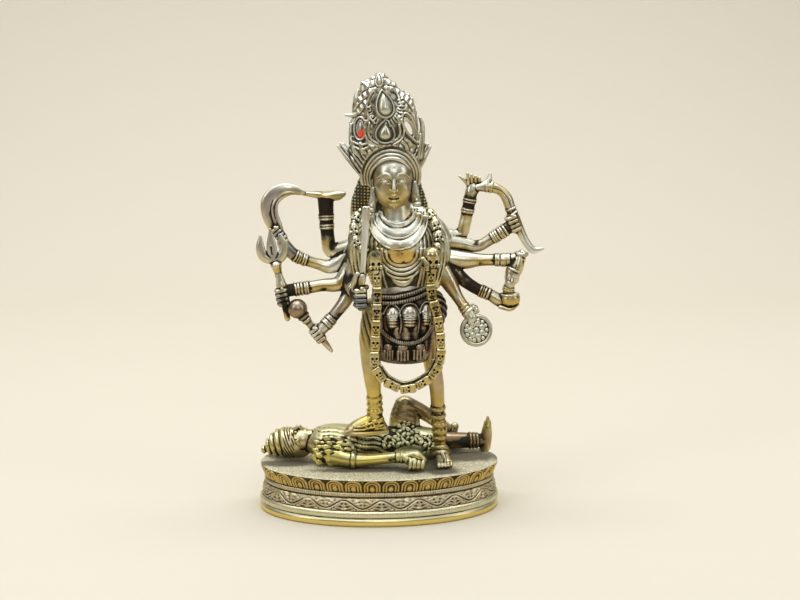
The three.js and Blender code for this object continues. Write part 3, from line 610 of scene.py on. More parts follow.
    # Plain rims following the two drops
    for run in ([(-1.0, 96.2), (-2.3, 94.4), (-3.0, 92), (-2.6, 89.8), (-1.2, 88.1)],
                [(3.2, 96.4), (4.6, 94.6), (5.3, 92.2)],
                [(-3.3, 88.6), (-3.6, 86.2), (-2.8, 83.8), (-0.6, 82.4)],
                [(5.4, 88.8), (6.0, 86.4), (5.4, 84.2), (3.4, 82.8)],
                [(-2.4, 88.0), (-2.8, 86.1), (-2.1, 84.2), (-0.4, 83.1)],
                [(4.8, 87.6), (5.1, 86.1), (4.5, 84.4), (2.9, 83.4)],
                [(-6.4, 83.4), (-4.6, 82.7), (-2.9, 83.2)], [(-5.9, 82.2), (-4.4, 81.6), (-2.9, 82.2)]):
        clay.line(run, 0.3, 0.42, 0.06)


headShape = {
    "skull": ((3.4, -4.4, 73.6), (4.9, 4.9, 6.6)),
    "brow": ((3.4, -5.4, 75.6), (4.7, 4.0, 4.6)),
    "jaw": ((3.45, -6.0, 70.2), (3.3, 3.1, 3.1)),
    "eyes": [1.45, 5.35],
    "eyeHeight": 73.8,
}


def modelHead(clay):
    middle = headShape["jaw"][0][0]
    clay.press(ball(*headShape["skull"]), 0)
    clay.press(ball(*headShape["brow"]), 1.2)
    clay.press(ball(*headShape["jaw"]), 2.4)
    for side in (-1, 1):
        clay.press(ball((middle + side * 2.3, -6.9, 71.6), (1.7, 1.5, 1.9)), 1.0)
    eyeHeight = headShape["eyeHeight"]
    for x in headShape["eyes"]:
        clay.carve(ball((x, -9.9, eyeHeight + 0.1), (1.35, 1.0, 0.8)), 0.5)
        clay.press(ball((x, -8.35, eyeHeight - 0.05), (1.05, 0.9, 0.58)), 0.1)
        clay.line([(x - 1.2, eyeHeight - 0.15), (x - 0.5, eyeHeight + 0.5), (x + 0.5, eyeHeight + 0.5),
                   (x + 1.2, eyeHeight - 0.15)], 0.16, 0.22, 0.05)
        clay.line([(x - 1.1, eyeHeight - 0.25), (x, eyeHeight - 0.64), (x + 1.1, eyeHeight - 0.25)], 0.12,
                  0.15, 0.05)
        out = 1 if x > middle else -1
        clay.line([(middle + out * 0.7, 74.9), (middle + out * 1.6, 75.75), (middle + out * 2.9, 75.6),
                   (middle + out * 3.9, 74.7)], 0.17, 0.24, 0.12)
    clay.limb([(middle, -8.9, 75.2, 0.42), (middle, -9.5, 73.8, 0.42), (middle, -10.1, 72.2, 0.62),
               (middle, -10, 71.7, 0.68)], 0.4)
    for side in (-1, 1):
        clay.press(ball((middle + side * 0.74, -9.5, 71.6), (0.48, 0.6, 0.44)), 0.15)
        clay.carve(ball((middle + side * 0.42, -10, 71.2), (0.2, 0.35, 0.16)), 0.06)
    clay.press(ball((middle, -8.4, 69.9), (2.0, 1.2, 1.3)), 0.5)
    clay.carve(ball((middle, -9.7, 69.75), (1.5, 1.3, 0.62)), 0.1)
    clay.limb([(middle - 1.7, -8.7, 70.0, 0.14), (middle - 0.7, -9.4, 70.45, 0.22),
               (middle, -9.5, 70.36, 0.22), (middle + 0.7, -9.4, 70.45, 0.22),
               (middle + 1.7, -8.7, 70.0, 0.14)], 0.2)
    clay.limb([(middle - 1.7, -8.7, 69.9, 0.14), (middle - 0.75, -9.2, 69.0, 0.24),
               (middle + 0.75, -9.2, 69.0, 0.24), (middle + 1.7, -8.7, 69.9, 0.14)], 0.2)
    clay.press([ball((middle + 0.36 * (i - 2.5), -9.15, 70.0), (0.18, 0.25, 0.3)) for i in range(6)], 0.02)
    clay.limb([(middle, -8.8, 69.5, 0.6, 0.3), (middle, -9.6, 69.0, 0.62, 0.26),
               (middle, -9.65, 68.2, 0.58, 0.24), (middle, -9.3, 67.5, 0.4, 0.2)], 0.05)
    clay.carve(sweep([(middle, -9.98, 69.0, 0.08), (middle, -9.95, 68.1, 0.08)]), 0.05)
    clay.press(ball((middle, -8.2, 67.6), (1.2, 0.9, 0.75)), 0.5)
    mark, way = clay.seat(middle, 77.2)
    clay.press(ball(mark, (0.24, 0.24, 0.5)), 0.05)
    clay.carve(ball(mark + way * 0.28, (0.09, 0.2, 0.28)), 0.03)
    # Ears and earrings
    for x, out in ((-1.3, -1), (8.2, 1)):
        clay.limb([(x + 0.3 * out, -4.4, 75, 0.6), (x, -4.8, 73.4, 0.7), (x - 0.1 * out, -4.8, 71.2, 0.6)],
                  0.2)
        clay.carve(ball((x + 0.1 * out, -5.5, 73.2), (0.25, 0.3, 0.8)), 0.1)
    for x, top, low, wide in ((-1.7, 71.8, 66.0, 1.0), (9.0, 73.2, 67.4, 1.1)):
        out = 1 if x > 3 else -1
        clay.limb([(x - 0.2 * out, -5.6, top, 0.55, 0.6), (x, -5.8, (top + low) / 2, wide * 0.85, 0.7),
                   (x + 0.25 * out, -5.8, low + 1, wide, 0.75)], 0.1)
        for i in range(4):
            clay.carve([rod((x - wide, -6.7, top - 0.9 - 0.85 * i), (x + wide, -6.7, top - 0.9 - 0.85 * i),
                            0.13, startDeep=0.4)], 0.08)
        clay.press(ball((x + 0.3 * out, -6.0, low + 0.5), (wide * 1.05, 0.9, 0.75)), 0.1)
        clay.press(ball((x + 0.2 * out, -6.6, low + 1.5), (0.36, 0.36, 0.36)), 0.05)
    # Bands over the brow, stepping forward to the forehead
    for step, (top, half) in enumerate(zip(crownShape["bandTops"], crownShape["bandHalves"])):
        run = []
        for i in range(15):
            turn = math.radians(-106 + i * 212 / 14)
            run.append((2.85 + half * math.sin(turn), -4.5 - (2.3 + 0.62 * step) * max(math.cos(turn), -0.1),
                        top - half * 1.03 * (1 - math.cos(turn)), 0.52, 0.8))
        clay.limb(run, 0.03, 3)


# Body: shoulders, shawl, necklaces and waist

bodyShape = {
    "trunk": [[6.4, -1.5, 36, 8.2, 5.8], [6.3, -1.9, 43, 8, 5.8], [6, -2.6, 48.6, 7.6, 5],
              [5.7, -2.4, 53, 8.6, 5.6], [5.1, -2.2, 58, 10.4, 5.8], [5, -1.8, 61.6, 10.2, 4.4],
              [4.4, -2.6, 65.6, 4.6, 3.2]],
    "veil": [[3, -0.4, 78, 5.4, 4.2], [2.7, 0.4, 72.4, 8, 4], [2.7, 1.2, 65.4, 10, 3.4],
             [3.6, 2.2, 57, 8.8, 2.8], [4.2, 2.9, 47, 6.4, 2]],
    "shawls": [[[-1.8, -2.6, 65, 1.6, 2], [-4.8, -3.2, 60.8, 2.6, 2.8], [-5.2, -3.4, 55.6, 2.6, 3],
                [-4.8, -3.4, 50.6, 2, 2.4]],
               [[10.4, -2.6, 65, 1.8, 2], [14.6, -2.4, 60.4, 2.9, 2.7], [15.0, -2.9, 55, 2.9, 3],
                [13.6, -3, 48, 2.4, 2.6]]],
    # half width, top and bottom of each collar's middle line, and half its breadth
    "collars": [(4.0, 65.6, 63.0, 0.55), (5.2, 65.2, 60.7, 1.15), (6.6, 64.6, 58.0, 1.1)],
    "loops": [(3.9, 56.2, 52.7), (4.9, 56.8, 51.6), (5.8, 56.8, 50.5)],
}


def hanging(half, top, bottom, middle=4.6):
    # Places along a loop hung between two points
    turns = [math.radians(-90 + 15 * i) for i in range(13)]
    return [(middle + half * math.sin(t), top - (top - bottom) * math.cos(t), 1.0) for t in turns]


def modelBody(clay):
    clay.limb(bodyShape["veil"], 0)
    clay.limb(bodyShape["trunk"], 0.5)
    clay.limb([(4.1, -3.4, 69, 3.1), (4.3, -3.6, 65, 3.3), (4.4, -3.4, 62, 3.9)], 0.8)
    for shawl in bodyShape["shawls"]:
        clay.limb(shawl, 0.7)
    for x in (2.3, 7.9):
        clay.press(ball((x, -6, 57.2), (3.6, 2.9, 3.4)), 0.9)

    def strands(x, y, z):
        # Strands that open from the neck over the shoulders and down the sides
        opening = 0.99 - 0.24 * np.clip(0.5 + (z - 62.5) / 9, 0, 1) ** 2 * 2.2 - 0.0018 * (z - 56) ** 2
        out = np.abs(x - 4.7) / opening
        beside = ramp(out - 3.9, 1.2) * ramp(z - 47, 3) * ramp(13.6 - out, 1.5)
        strength = beside * ramp(65.4 - z, 1.2) * (y < 1.0)
        return 0.14 * wave(out, 1.05) * strength

    def net(x, y, z):
        # Knotted net of the veil, beside the head and down the back
        beside = ramp(np.abs(x - 3.4) - 4.6, 0.8) * ramp(z - 63, 2)
        mask = np.maximum(ramp(y + 1.4, 1.2), beside)
        return 0.1 * wave(x + z, 1.6) * wave(x - z, 1.6) * mask * 0.6

    collars = []
    for half, top, bottom, wide in bodyShape["collars"]:
        collars.append((clay.trace(hanging(half, top, bottom), wide, 0.5, sink=0.1), 0.12))
        rim = hanging(half + wide * 0.85, top + 0.3, bottom - wide)
        collars.append((clay.trace(rim, 0.26, 0.36, sink=-0.12), 0.05))
    clay.ripple((-10, -11, 44), (20, 2, 70), strands)
    clay.ripple((-9, -6, 44), (15, 6, 79), net)
    # Roots of the arms, a little thinner than the arms that cover them
    for arm in [*leftArms.values(), *rightArms.values()]:
        (x, y, z, wide), (*end, narrow) = arm["arm"][:2]
        clay.limb([(x, y, z, wide), (*((x, y, z) + 0.75 * (np.array(end) - (x, y, z))), 0.8 * narrow)], 0.8)
    # Collars: broad smooth bands, each ending in a rim
    for shapes, blend in collars:
        clay.press(shapes, blend)
    for x, z in ((3.2, 57.0), (4.2, 56.7), (5.3, 56.7), (6.4, 57.0), (7.4, 57.6)):
        place, _ = clay.seat(x, z)
        clay.carve(rod(place - np.array((0.3, 0, 0.05)), place + np.array((0.3, 0, 0.05)), 0.14), 0.04)
    for x in (4.1, 7.4):
        clay.press(ball((x, -7.3, 54.8), (2.0, 1.1, 1.6)), 0.7)
    for half, top, bottom in bodyShape["loops"]:
        clay.line(hanging(half, top, bottom, 5.4), 0.52, 0.55, 0.1, sink=0.1)
    clay.line(hanging(4.0, 51.6, 49.4, 5.6), 0.36, 0.4, 0.1)
    clay.line([(2.9, 49.6, 0.4), (4.2, 48.4, 1), (5.7, 48.0, 1.25), (7.2, 48.5, 1), (8.4, 49.8, 0.4)], 0.75,
              0.55, 0.08)
    for x in (0.6, 10.6):
        clay.line([(x, 52), (x + (0.5 if x < 5 else -0.5), 49.5), (x + (1.2 if x < 5 else -1.2), 47)], 0.35,
                  0.4, 0.1)


# Skirt, belt and what hangs from it

skirtShape = {
    "cloth": [[6.3, -2.4, 44, 8.0, 6.2], [6.3, -2.7, 41.4, 8.8, 6.8], [6.4, -3, 36, 8.6, 7],
              [6.3, -3, 31, 7.7, 6.2]],
    "heads": [(3.1, 42.3, 1.6), (7.4, 42.6, 2.0), (11.5, 42.7, 1.2)],
    "hands": [(2.1, 33.0, 1.4), (5.7, 33.0, 1.75), (9.8, 33.0, 1.8)],
}


def modelSkirt(clay):
    clay.limb(skirtShape["cloth"], 0)
    clay.press(ball((13.4, -1.8, 40.2), (3.9, 4.2, 5.4)), 1.2)
    clay.carve(ball((6.3, -3, 25.6), (7.4, 5.6, 3.6)), 0.3)

    def folds(x, y, z):
        around = np.arctan2(x - 6.3, -(y + 2.5))
        return 0.1 * np.cos(around * 19 + 0.25 * z) * ramp(44 - z, 3) * ramp(z - 29.5, 3)

    def hipFolds(x, y, z):
        return 0.16 * wave(z + 0.9 * y, 2.0) * ramp(x - 14, 1.5)

    clay.ripple((-5, -12, 26), (20, 6, 46), folds)
    clay.ripple((13, -8, 33), (19, 4, 47), hipFolds)
    # Two beaded strands of the belt
    for (a, b), (c, d) in (((-1.6, 43.2), (12.8, 45.8)), ((-1.6, 44.6), (12.8, 47.2))):
        run = [(a + (c - a) * t, b + (d - b) * t**1.3 - 0.5 * math.sin(math.pi * t))
               for t in np.linspace(0, 1, 9)]
        clay.line(run, 0.5, 0.62, 0.1)
        for p in curve([(a, 0, b, 1) for a, b in run], 3):
            place, _ = clay.seat(p[0], p[2])
            clay.press(ball(place, (0.27, 0.36, 0.52)), 0.04)
    # Small heads, each a stack of ridges narrowing to the chin, hung from a loop
    for x, top, wide in skirtShape["heads"]:
        place, _ = clay.seat(x, top - 2)
        y = place[1] - 0.1
        clay.press(ball((x, y, top - 1.7), (wide, 1.5, 1.9)), 0.1)
        clay.press(rod((x, y, top - 2), (x, y + 0.1, top - 4.6), wide * 0.95, wide * 0.6, 1.4, 0.9), 0.2)
        clay.press(rod((x - wide * 0.8, y - 0.5, top - 1.5), (x + wide * 0.8, y - 0.5, top - 1.5), 0.3,
                       startDeep=0.95), 0.1)
        for i in range(3):
            narrow = 0.96 - 0.13 * i
            clay.press(ball((x, y - 0.1, top - 3.1 - 0.8 * i), (wide * narrow, 1.4 * narrow, 0.42)), 0.1)
        for side in (-1, 1):
            clay.carve(ball((x + side * wide * 0.42, y - 1.4, top - 2.25), (0.24 * wide, 0.3, 0.16)), 0.06)
        clay.line([(x - wide - 0.6, top - 1.8), (x - wide * 0.7, top + 0.1), (x, top + 0.6),
                   (x + wide * 0.7, top + 0.1), (x + wide + 0.6, top - 1.8)], 0.24, 0.4, 0.05)
    # Beaded swag and the hands under it
    run = [(-0.4, 37.4), (1.6, 35.2), (4, 33.8), (6.6, 33.3), (9.2, 33.6), (11.4, 34.8), (13, 37)]
    clay.line(run, 0.5, 0.7, 0.08, sink=-0.1)
    for p in curve([(a, 0, b, 1) for a, b in run], 5):
        place, _ = clay.seat(p[0], p[2])
        clay.press(ball(place, (0.2, 0.26, 0.6)), 0.04)
    for x, top, wide in skirtShape["hands"]:
        place, _ = clay.seat(x, top - 1.6)
        y = place[1] + 0.1
        clay.press(rod((x, y, top - 0.9), (x, y + 0.1, top - 2.7), wide * 0.8, wide, 0.95, 0.8), 0.1)
        for i in range(4):
            fx = x + wide * 0.46 * (i - 1.5)
            clay.press(rod((fx, y - 0.35, top - 1.9), (fx, y + 0.05, top - 4.4 + 0.2 * abs(i - 1.5)),
                           wide * 0.235, wide * 0.2, 0.6, 0.45), 0.03)
    for x in (0.4, 5.1, 9.5, 12.4):
        clay.line([(x, 40.4, 1), (x + 0.2, 38.4, 1), (x - 0.1, 36, 0.7)], 0.3, 0.4, 0.1)


# Legs

legShape = {
    "left": [[-1.6, -2.8, 41, 2.6, 4.2], [-2.4, -3.1, 34, 2.7, 3.6], [-2.2, -3.8, 28, 2.6, 3],
             [-1.8, -4.2, 22.6, 2.2, 2.5], [-1.4, -4.4, 17.8, 1.8, 2], [-1.1, -4.4, 10.8, 2.0, 2.1]],
    "right": [[12.6, -2.6, 41, 2.9, 4.2], [13.1, -2.6, 34, 2.8, 3.6], [13.7, -3.2, 26, 2.3, 3],
              [14.7, -3.4, 20.4, 1.9, 2.3], [15.1, -2.8, 14, 1.75, 1.85], [15.6, -1.8, 7.6, 1.75, 1.8],
              [15.8, -1.4, 3, 1.4, 1.5]],
    # how far down the leg each anklet sits, and half its height
    "leftAnklets": [(0.796, 1.2), (0.852, 0.78), (0.903, 0.98), (0.962, 1.05)],
    "rightAnklets": [(0.659, 1.15), (0.715, 0.95), (0.766, 0.98), (0.818, 0.95), (0.88, 0.7)],
    "soleHeight": 8.42,
}


def modelLegs(clay):
    sole = legShape["soleHeight"]
    for side in ("left", "right"):
        clay.limb(legShape[side], 0)

    def hipCloth(x, y, z):
        # Cloth drawn round the left hip
        fade = ramp(z - 29.5, 2.5) * ramp(41.5 - z, 2)
        return 0.07 * wave(x * 0.9 + 0.35 * z - 0.4 * y, 1.5) * fade

    clay.ripple((-6, -9, 29), (1, 4, 42), hipCloth)
    # Left foot, set sideways on the lying figure's chest
    foot = [(0.9, -4.4, sole + 1.2, 1.3, 1.5), (-1.7, -4.5, sole + 2.2, 2.8, 1.9),
            (-5, -5, sole + 1.8, 2.3, 2.0), (-7.6, -5.2, sole + 1.2, 1.3, 2.1)]
    clay.limb(foot, 0.8)
    for i in range(5):
        y = -6.7 + 0.78 * i
        clay.limb([(-7.2, y, sole + 1.1, 0.5), (-8.5 + 0.1 * i, y, sole + 1.0, 0.46),
                   (-9.2 + 0.18 * i, y, sole + 0.6, 0.36)], 0.06)
    clay.limb([(1.6, -5.6, sole + 0.55, 0.55, 0.5), (-2, -6.8, sole + 0.55, 0.6, 0.5),
               (-6, -7.2, sole + 0.5, 0.6, 0.5), (-9.0, -6.7, sole + 0.42, 0.45, 0.4)], 0.1)
    for run in ([(0.9, sole + 4.4), (-1.6, sole + 3.4), (-4.4, sole + 2.5), (-6.6, sole + 2.3)],
                [(0.9, sole + 2.6), (-1.8, sole + 2.1), (-4.4, sole + 1.6), (-6.6, sole + 1.5)]):
        clay.line(run, 0.3, 0.4, 0.06)
    for x, z in ((-1.0, 3.2), (-3.0, 2.6)):
        place, way = clay.seat(x, sole + z)
        clay.press(torus(place, way, 0.72, 0.24), 0.06)

    def underSole(x, y, z):
        return z - (sole + 0.1) + 0 * x + 0 * y + 60 * (x > 3.5)

    clay.carve(((-14, -10, -4), (4, 2, sole + 0.1), underSole), 0)
    # Right foot on the plinth
    clay.press(sweep([(15.7, 0.6, 1.2, 1.3, 1.4), (16, -2.6, 2.2, 1.65, 2.1), (16.3, -5.4, 1.5, 1.9, 1.6),
                      (16.6, -7.2, 1.1, 2.0, 1.1)],
                     facing=above), 0.6)
    for i in range(5):
        x = 14.9 + 0.82 * i
        tip = -10.1 + 0.16 * i * i * 0.35
        clay.limb([(x + 0.1, -6.8, 1.1, 0.52), (x, tip + 1.6, 1.15, 0.5), (x, tip + 0.5, 0.75, 0.42)], 0.06)
        clay.carve(ball((x, tip + 0.45, 1.35), (0.26, 0.4, 0.2)), 0.04)
    band = [(13.9, -2.2, 1.2), (14.2, -4.2, 2.6), (15.6, -5.4, 3.3), (17.1, -4.8, 3.0), (18, -2.8, 1.4)]
    clay.limb([(*p, 0.6) for p in band], 0.08)
    clay.limb([(p[0], p[1] + 1.3, p[2] + 0.9, 0.6) for p in band], 0.08)
    clay.limb([(16, -5.2, 3.3, 0.5), (16.4, -7, 2.4, 0.42), (16.7, -8.6, 1.8, 0.3)], 0.06)
    # Anklets, each a fat smooth ring
    for side in ("left", "right"):
        for place, thick in legShape[side + "Anklets"]:
            clay.press(rings(legShape[side], (place,), 0.34, thick), 0.02)


# Garland of skulls

garlandShape = {
    "run": [[-4.6, -2.6, 66, 0.9], [-6.2, -5, 62.7, 1.0], [-5.4, -6.8, 58.1, 1.0], [-1.4, -9.2, 53.6, 1.2],
            [-0.8, -9.8, 46.9, 1.2], [-1, -10.3, 39.9, 1.2], [-1.3, -10.6, 33.1, 1.2],
            [-1.3, -10.9, 28, 1.2], [1.2, -11.2, 24.2, 1.2], [6.4, -11.5, 22.2, 1.2],
            [12, -11.2, 24.6, 1.2], [14.7, -10.9, 28.6, 1.2], [15, -10.6, 34.2, 1.2],
            [14.2, -10.3, 40.5, 1.2], [12.7, -9.8, 46.7, 1.2], [13, -9.4, 54.2, 1.2],
            [14.7, -6.9, 58.8, 1.1], [13.6, -4.6, 63.6, 1.1], [12, -2.4, 66, 0.9]],
    "cord": 0.62,
    "half": 1.16,  # half the width of a bead
    "bigSkulls": [((-1.2, -9.8, 53.9), 1.95), ((12.9, -9.6, 54.3), 2.2)],
    "spacing": 4.05,
}


def block(centre, along, out, halves, rounding):
    # A box with rounded edges: half its length along, across and outwards
    centre, along = np.array(centre, float), unitVector(along)
    out = squared(out, along)
    ways = (along, np.cross(along, out), out)
    reach = float(np.linalg.norm(halves))

    def distance(x, y, z):
        p = (x - centre[0], y - centre[1], z - centre[2])
        off = [np.abs(p[0] * way[0] + p[1] * way[1] + p[2] * way[2]) - half + rounding
               for way, half in zip(ways, halves)]
        a, b, c = (np.maximum(o, 0) for o in off)
        inner = np.minimum(np.maximum(np.maximum(off[0], off[1]), off[2]), 0)
        return np.sqrt(a**2 + b**2 + c**2) + inner - rounding

    return centre - reach, centre + reach, distance


def bead(clay, place, along, half, long, facing):
    # A skull cut down to a rounded block: its brow end first along the run
    place, along = np.array(place, float), unitVector(along)
    out = squared(facing, along)
    side = np.cross(along, out)
    clay.press(block(place, along, out, (long, half, half * 0.92), 0.42), 0.05)
    clay.press(block(place - along * long * 0.55 + out * 0.12, along, out,
                     (long * 0.4, half * 1.06, half * 0.92), 0.45), 0.08)
    clay.press(block(place + along * long * 0.5 + out * 0.1, along, out,
                     (long * 0.3, half * 0.72, half * 0.92), 0.3), 0.08)
    for s in (-1, 1):
        clay.carve(ball(place + out * half * 0.98 + side * 0.44 * s * half - along * 0.06 * long,
                        (0.27 * half, 0.4 * half, 0.3 * half)), 0.06)
    clay.carve(ball(place + out * half + along * 0.26 * long, (0.13 * half, 0.3 * half, 0.2 * half)), 0.04)
    mouth = place + out * half * 1.0 + along * 0.62 * long
    clay.carve(rod(mouth - side * 0.5 * half, mouth + side * 0.5 * half, 0.1, startDeep=0.2), 0.04)
    for i in range(3):
        tooth = mouth + side * 0.3 * (i - 1) * half
        clay.carve(rod(tooth - along * 0.3, tooth + along * 0.3, 0.07, startDeep=0.14), 0.02)


def skull(clay, place, along, size, facing, length):
    # Crown end first along the run, chin last
    place = np.array(place, float)
    along = unitVector(along)
    out = squared(facing, along)
    side = np.cross(along, out)
    crown = place - along * 0.75 * size * length
    brow, chin = place + along * 0.35 * size * length, place + along * 1.35 * size * length
    clay.press(rod(crown, brow, size * 1.02, size * 0.96, size * 1.0, size * 0.95, out), 0.1)
    clay.press(rod(place + along * 0.3 * size, chin, size * 0.78, size * 0.7, size * 0.86, size * 0.75,
                   out), 0.12)
    for s in (-1, 1):
        eye = place + out * 0.92 * size + side * 0.42 * s * size + along * 0.08 * size
        clay.carve(ball(eye, 0.27 * size), 0.05)
        clay.press(ball(place + out * 0.62 * size + side * 0.66 * s * size + along * 0.55 * size,
                        0.3 * size), 0.1)
    clay.carve(ball(place + out * 0.98 * size + along * 0.62 * size, (0.14 * size, 0.2 * size, 0.2 * size)),
               0.04)
    mouth = place + out * 0.82 * size + along * 1.12 * size * length
    clay.carve([rod(mouth - side * 0.45 * size, mouth + side * 0.45 * size, 0.08 * size,
                    startDeep=0.2 * size)], 0.03)


def modelGarland(clay):
    run = curve(garlandShape["run"], 24)
    clay.limb([(*p[:3], garlandShape["cord"]) for p in curve(garlandShape["run"], 3)], 0, 2)
    lengths = np.concatenate([[0], np.cumsum(np.linalg.norm(np.diff(run[:, :3], axis=0), axis=1))])

    def spot(distance):
        i = int(np.clip(np.searchsorted(lengths, distance), 1, len(run) - 2))
        way = unitVector(run[i + 1][:3] - run[i - 1][:3])
        return run[i][:3], way

    bigPlaces = [lengths[np.argmin(np.linalg.norm(run[:, :3] - np.array(place), axis=1))]
                 for place, _ in garlandShape["bigSkulls"]]
    first, last = bigPlaces[0] + 3.7, bigPlaces[1] - 4.0
    count = int(round((last - first) / garlandShape["spacing"])) + 1
    for i in range(count):
        place, way = spot(first + (last - first) * i / (count - 1))
        flip = 1 if place[0] < 6 else -1
        lean = front if place[2] > 26 else (0, -0.9, -0.2)
        bead(clay, place, way * flip, garlandShape["half"], (last - first) / (count - 1) / 2 + 0.02, lean)
    for place, size in garlandShape["bigSkulls"]:
        skull(clay, place, (0, 0.05, -1), size, (0.1, -1, 0.05), 0.75)
    for distance in np.arange(2.4, bigPlaces[0] - 2.8, 3.2):
        place, way = spot(distance)
        skull(clay, place, way, 1.3, unitVector((-0.2, -1, 0.1)), 0.8)
    for distance in np.arange(2.2, lengths[-1] - bigPlaces[1] - 2.8, 3.2):
        place, way = spot(lengths[-1] - distance)
        skull(clay, place, -way, 1.35, unitVector((0.2, -1, 0.1)), 0.8)
    # Smooth wire inside the lower bend, and the small hand over the right skull
    wire = [(0.2, -10.4, 27.5), (1.9, -10.6, 25.2), (4, -10.8, 23.9), (6.2, -10.9, 23.3),
            (9.2, -10.8, 24.2), (12.2, -10.6, 26.2), (13.4, -10.4, 29)]
    clay.limb([(*p, 0.42) for p in wire], 0.2)
    clay.limb([(9.6, -10.2, 54.6, 0.35), (10.6, -10.7, 54.9, 0.5), (11.6, -10.9, 53.6, 0.75),
               (11.7, -10.8, 52.2, 0.6)], 0.1)


# Arms and what they hold

leftArms = {
    "palm": {"arm": [[-7.5, 0.3, 56, 2.3], [-12, 0.9, 55.4, 2], [-13, 0.6, 59.4, 1.7],
                     [-13.4, 0.3, 68.4, 2.0]], "rings": (0.74, 0.765, 0.825, 0.85)},
    "blade": {"arm": [[-7.2, 0, 54.8, 2.3], [-11.8, -0.3, 51.5, 1.9], [-15.4, -0.6, 52.1, 1.45],
                      [-19.2, -0.9, 53.4, 1.45], [-21.9, -1.2, 54.9, 1.6], [-24.2, -1.7, 57.6, 1.6]],
              "rings": (0.56, 0.6, 0.645, 0.69, 0.74)},
    "trident": {"arm": [[-6.8, -0.9, 52.5, 2.5], [-9.8, -1.6, 47.4, 2], [-14.4, -2.2, 46.9, 1.6],
                        [-18.2, -2.8, 46.4, 1.6], [-21.5, -3.1, 46, 1.6], [-24, -3.9, 45.7, 1.6]],
                "rings": (0.6, 0.64, 0.68, 0.735, 0.78)},
    "mace": {"arm": [[-6.8, -1.6, 48.6, 2], [-8.3, -2.7, 43.6, 1.8], [-11, -3.5, 40, 1.5],
                     [-13.4, -4.4, 37.4, 1.6], [-15.3, -5, 35.5, 1.5]],
             "rings": (0.62, 0.67, 0.72, 0.78)},
    "sword": {"arm": [[-5.7, -1.9, 55.2, 2.3], [-7, -3.1, 47.8, 2], [-6.3, -6.2, 46.5, 1.8],
                      [-5.4, -9.2, 46, 1.7]], "rings": (0.7, 0.8)},
}

rightArms = {
    "open": {"arm": [[16.4, 0.6, 58.4, 2.6], [20.8, 1.1, 59, 1.8], [22.2, 0.8, 63, 1.55],
                     [23.5, 0.2, 70.2, 1.6]], "rings": (0.78, 0.8, 0.895, 0.915)},
    "bow": {"arm": [[16.4, 0, 57.6, 2.4], [21.3, -0.3, 57, 1.75], [25.1, -0.6, 56.4, 1.5],
                    [28.1, -0.9, 58, 1.5], [31.1, -1.4, 60, 1.6], [33.8, -1.6, 61.8, 1.6]],
            "rings": (0.66, 0.7, 0.74, 0.78, 0.82, 0.86)},
    "head": {"arm": [[16.4, -0.9, 53.6, 2.8], [21.7, -1.6, 53, 2.35], [25.7, -2.2, 53.1, 1.6],
                     [30, -2.8, 53.2, 1.5], [32.8, -3.1, 53.2, 1.6], [35.4, -3.7, 53.6, 1.7]],
             "rings": (0.58, 0.62, 0.66, 0.7, 0.74, 0.78, 0.82)},
    "bowl": {"arm": [[16.8, -1.2, 52.6, 2.3], [21.2, -2.2, 48.2, 1.7], [24.7, -2.8, 45.8, 1.5],
                     [28, -3.4, 44.4, 1.5], [30.8, -3.7, 42.8, 1.7], [33.8, -3.7, 42.2, 1.6]],
             "rings": (0.46, 0.5, 0.54, 0.58)},
    "disc": {"arm": [[14.4, -2, 53, 2.7], [17.4, -3.4, 48.1, 2.2], [19.6, -4.4, 44.3, 1.5],
                     [21.3, -5.3, 41.7, 1.4], [23.2, -6, 38.9, 1.6]],
             "rings": (0.76, 0.82, 0.88)},
}


def modelArm(clay, arm):
    clay.limb(arm["arm"], 0.3)
    clay.press(rings(arm["arm"], arm["rings"], 0.26, 0.36), 0.06)


